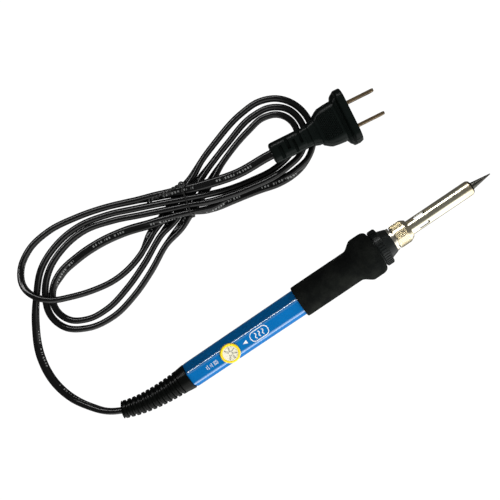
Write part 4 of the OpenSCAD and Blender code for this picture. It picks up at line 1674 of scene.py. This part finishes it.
# The cord's middle line from inside the boot to inside the plug: x, y, z in millimetres and the
# roll of its wide side out of the level, in degrees.
CORD_ROUTE: tuple[tuple[float, float, float, float], ...] = (
    (-95.5, 1.5, 5.9, 90), (-108.5, 4.5, 5.4, 90), (-115.5, 8.5, 4.7, 90), (-121.5, 15, 3.4, 80),
    (-127, 24, 2.6, 65), (-130, 37, 2.5, 60), (-128.5, 50, 2.5, 60), (-121, 66, 2.5, 75),
    (-113, 77, 2.5, 90), (-103.5, 87, 2.5, 90), (-90, 93, 2.5, 90), (-75.5, 94.5, 2.5, 90),
    (-59.5, 91, 2.5, 90), (-46, 85.5, 4.3, 90), (-31, 79, 7, 90), (-22, 75, 8, 90), (-15, 72, 7.2, 90),
    (-2.5, 67.5, 4, 90), (10.5, 64.5, 2.5, 90), (23.5, 62.8, 2.5, 90), (33.5, 64.2, 2.5, 90),
    (41.5, 68, 2.5, 90), (44.8, 76, 2.5, 90), (41.5, 84, 2.5, 90), (33.5, 87.5, 2.5, 90),
    (23.5, 86.2, 2.5, 90), (4.5, 80.5, 2.5, 85), (-5, 76.5, 2.3, 50), (-14, 72.6, 2.1, 15),
    (-23.5, 68.7, 3.3, 30), (-31, 65.5, 2.3, 20), (-44, 61.5, 2.5, 85), (-57, 55, 2.5, 90),
    (-71, 49.5, 2.5, 90), (-86.5, 46.5, 2.5, 90), (-100.5, 49, 2.5, 90), (-110, 56, 2.5, 90),
    (-112.5, 65, 2.5, 90), (-109, 75, 2.5, 90), (-100, 84.5, 2.5, 90), (-88.5, 89.5, 2.5, 90),
    (-74.5, 91, 2.5, 90), (-59.5, 87.2, 2.5, 90), (-46, 81.5, 4.3, 90), (-32, 75.5, 7, 90),
    (-22.5, 71.5, 8, 90), (-15, 68, 7.5, 90), (-3.5, 64.2, 6.5, 90), (10.5, 61, 5.9, 90),
    (22.5, 59.3, 5.8, 90), (30.5, 59.8, 4, 90), (39, 61.5, 2.5, 90), (45.7, 67, 2.5, 90),
    (48.5, 75.5, 2.5, 90), (46.5, 84, 2.5, 90), (39.5, 89.8, 2.5, 90), (29.5, 91.2, 2.5, 90),
    (11, 86.8, 2.5, 90), (-1, 83, 2.55, 80), (-13.5, 78.5, 2.45, 50), (-22.5, 74.3, 3.3, 30),
    (-32, 70.5, 2.1, 10), (-43.5, 67, 2.5, 80), (-58, 60, 2.5, 90), (-72.5, 54.5, 2.5, 90),
    (-86.5, 51.5, 2.5, 90), (-98, 52.8, 2.5, 90), (-106, 58, 2.5, 90), (-108.5, 66, 2.5, 90),
    (-104.7, 74.6, 2.5, 85), (-96.5, 79.5, 2.2, 30), (-85, 81.5, 1.8, 0), (-71.5, 81.5, 1.7, 0),
    (-57, 79, 2.2, 0), (-43.5, 74.5, 5.3, 15), (-31.5, 71, 7.2, 75), (-23.5, 68, 8, 90),
    (-15.5, 64.4, 4.5, 65), (-3.5, 62, 2, 0), (10.5, 59, 1.7, 0), (22, 56, 1.7, 0), (32, 55.5, 2.4, 45),
    (42, 58.2, 2.5, 90), (49.3, 65, 2.5, 90), (52.3, 74, 2.5, 90), (51, 83.5, 2.5, 90), (45.8, 91, 2.5, 90),
    (36.5, 95.5, 2.5, 90), (25.5, 95.5, 2.5, 90), (5.5, 90.5, 2.5, 90), (-4.5, 87, 2.5, 85),
    (-13, 83, 2.4, 60), (-21.5, 80, 3.3, 30), (-33.5, 75.3, 2.1, 10), (-45, 71.5, 2.1, 25),
    (-58, 64.5, 2.5, 90), (-75, 61.5, 2.6, 90), (-88, 63.5, 3.3, 90), (-97.5, 66.5, 5.4, 90),
    (-107, 71, 7.9, 90), (-113, 77.5, 7.9, 90), (-115, 85.5, 5.2, 90), (-112, 92.5, 2.9, 90),
    (-103.5, 98.5, 2.5, 90), (-89.5, 101, 2.5, 90), (-74, 99, 2.5, 90), (-59, 95, 2.5, 90),
    (-44, 89, 4.3, 80), (-31, 83.6, 6.2, 40), (-21, 79.4, 7.4, 0), (-8.5, 75, 8.1, 0), (6.5, 70.8, 9.3, 0),
    (24.5, 69.3, 10, 0), (34.5, 68, 10, 0),
)


def corners(box: Sequence[Any]) -> list[list[float]]:
    """A box's two corners as plain lists."""
    return [[float(v) for v in corner] for corner in box]


def main() -> None:
    """Build the iron round its frame, camera and cord first."""
    global WHEEL, STUDS, RIBS
    logging.basicConfig(level=logging.INFO, format="%(name)s: %(message)s")
    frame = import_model()
    WHEEL, STUDS, RIBS = Wheel(), Studs(), Ribs()
    studio = Studio()
    studio.camera()
    Lead(CORD_ROUTE).build(Plug().build())
    for part in (Boot(), Handle(), Dial(), Grip(), Nose(), HotEnd()):
        part.build()
    KEPT.dress(frame["nodes"])
    studio.light()
    studio.floor()


if __name__ == "__main__":
    main()
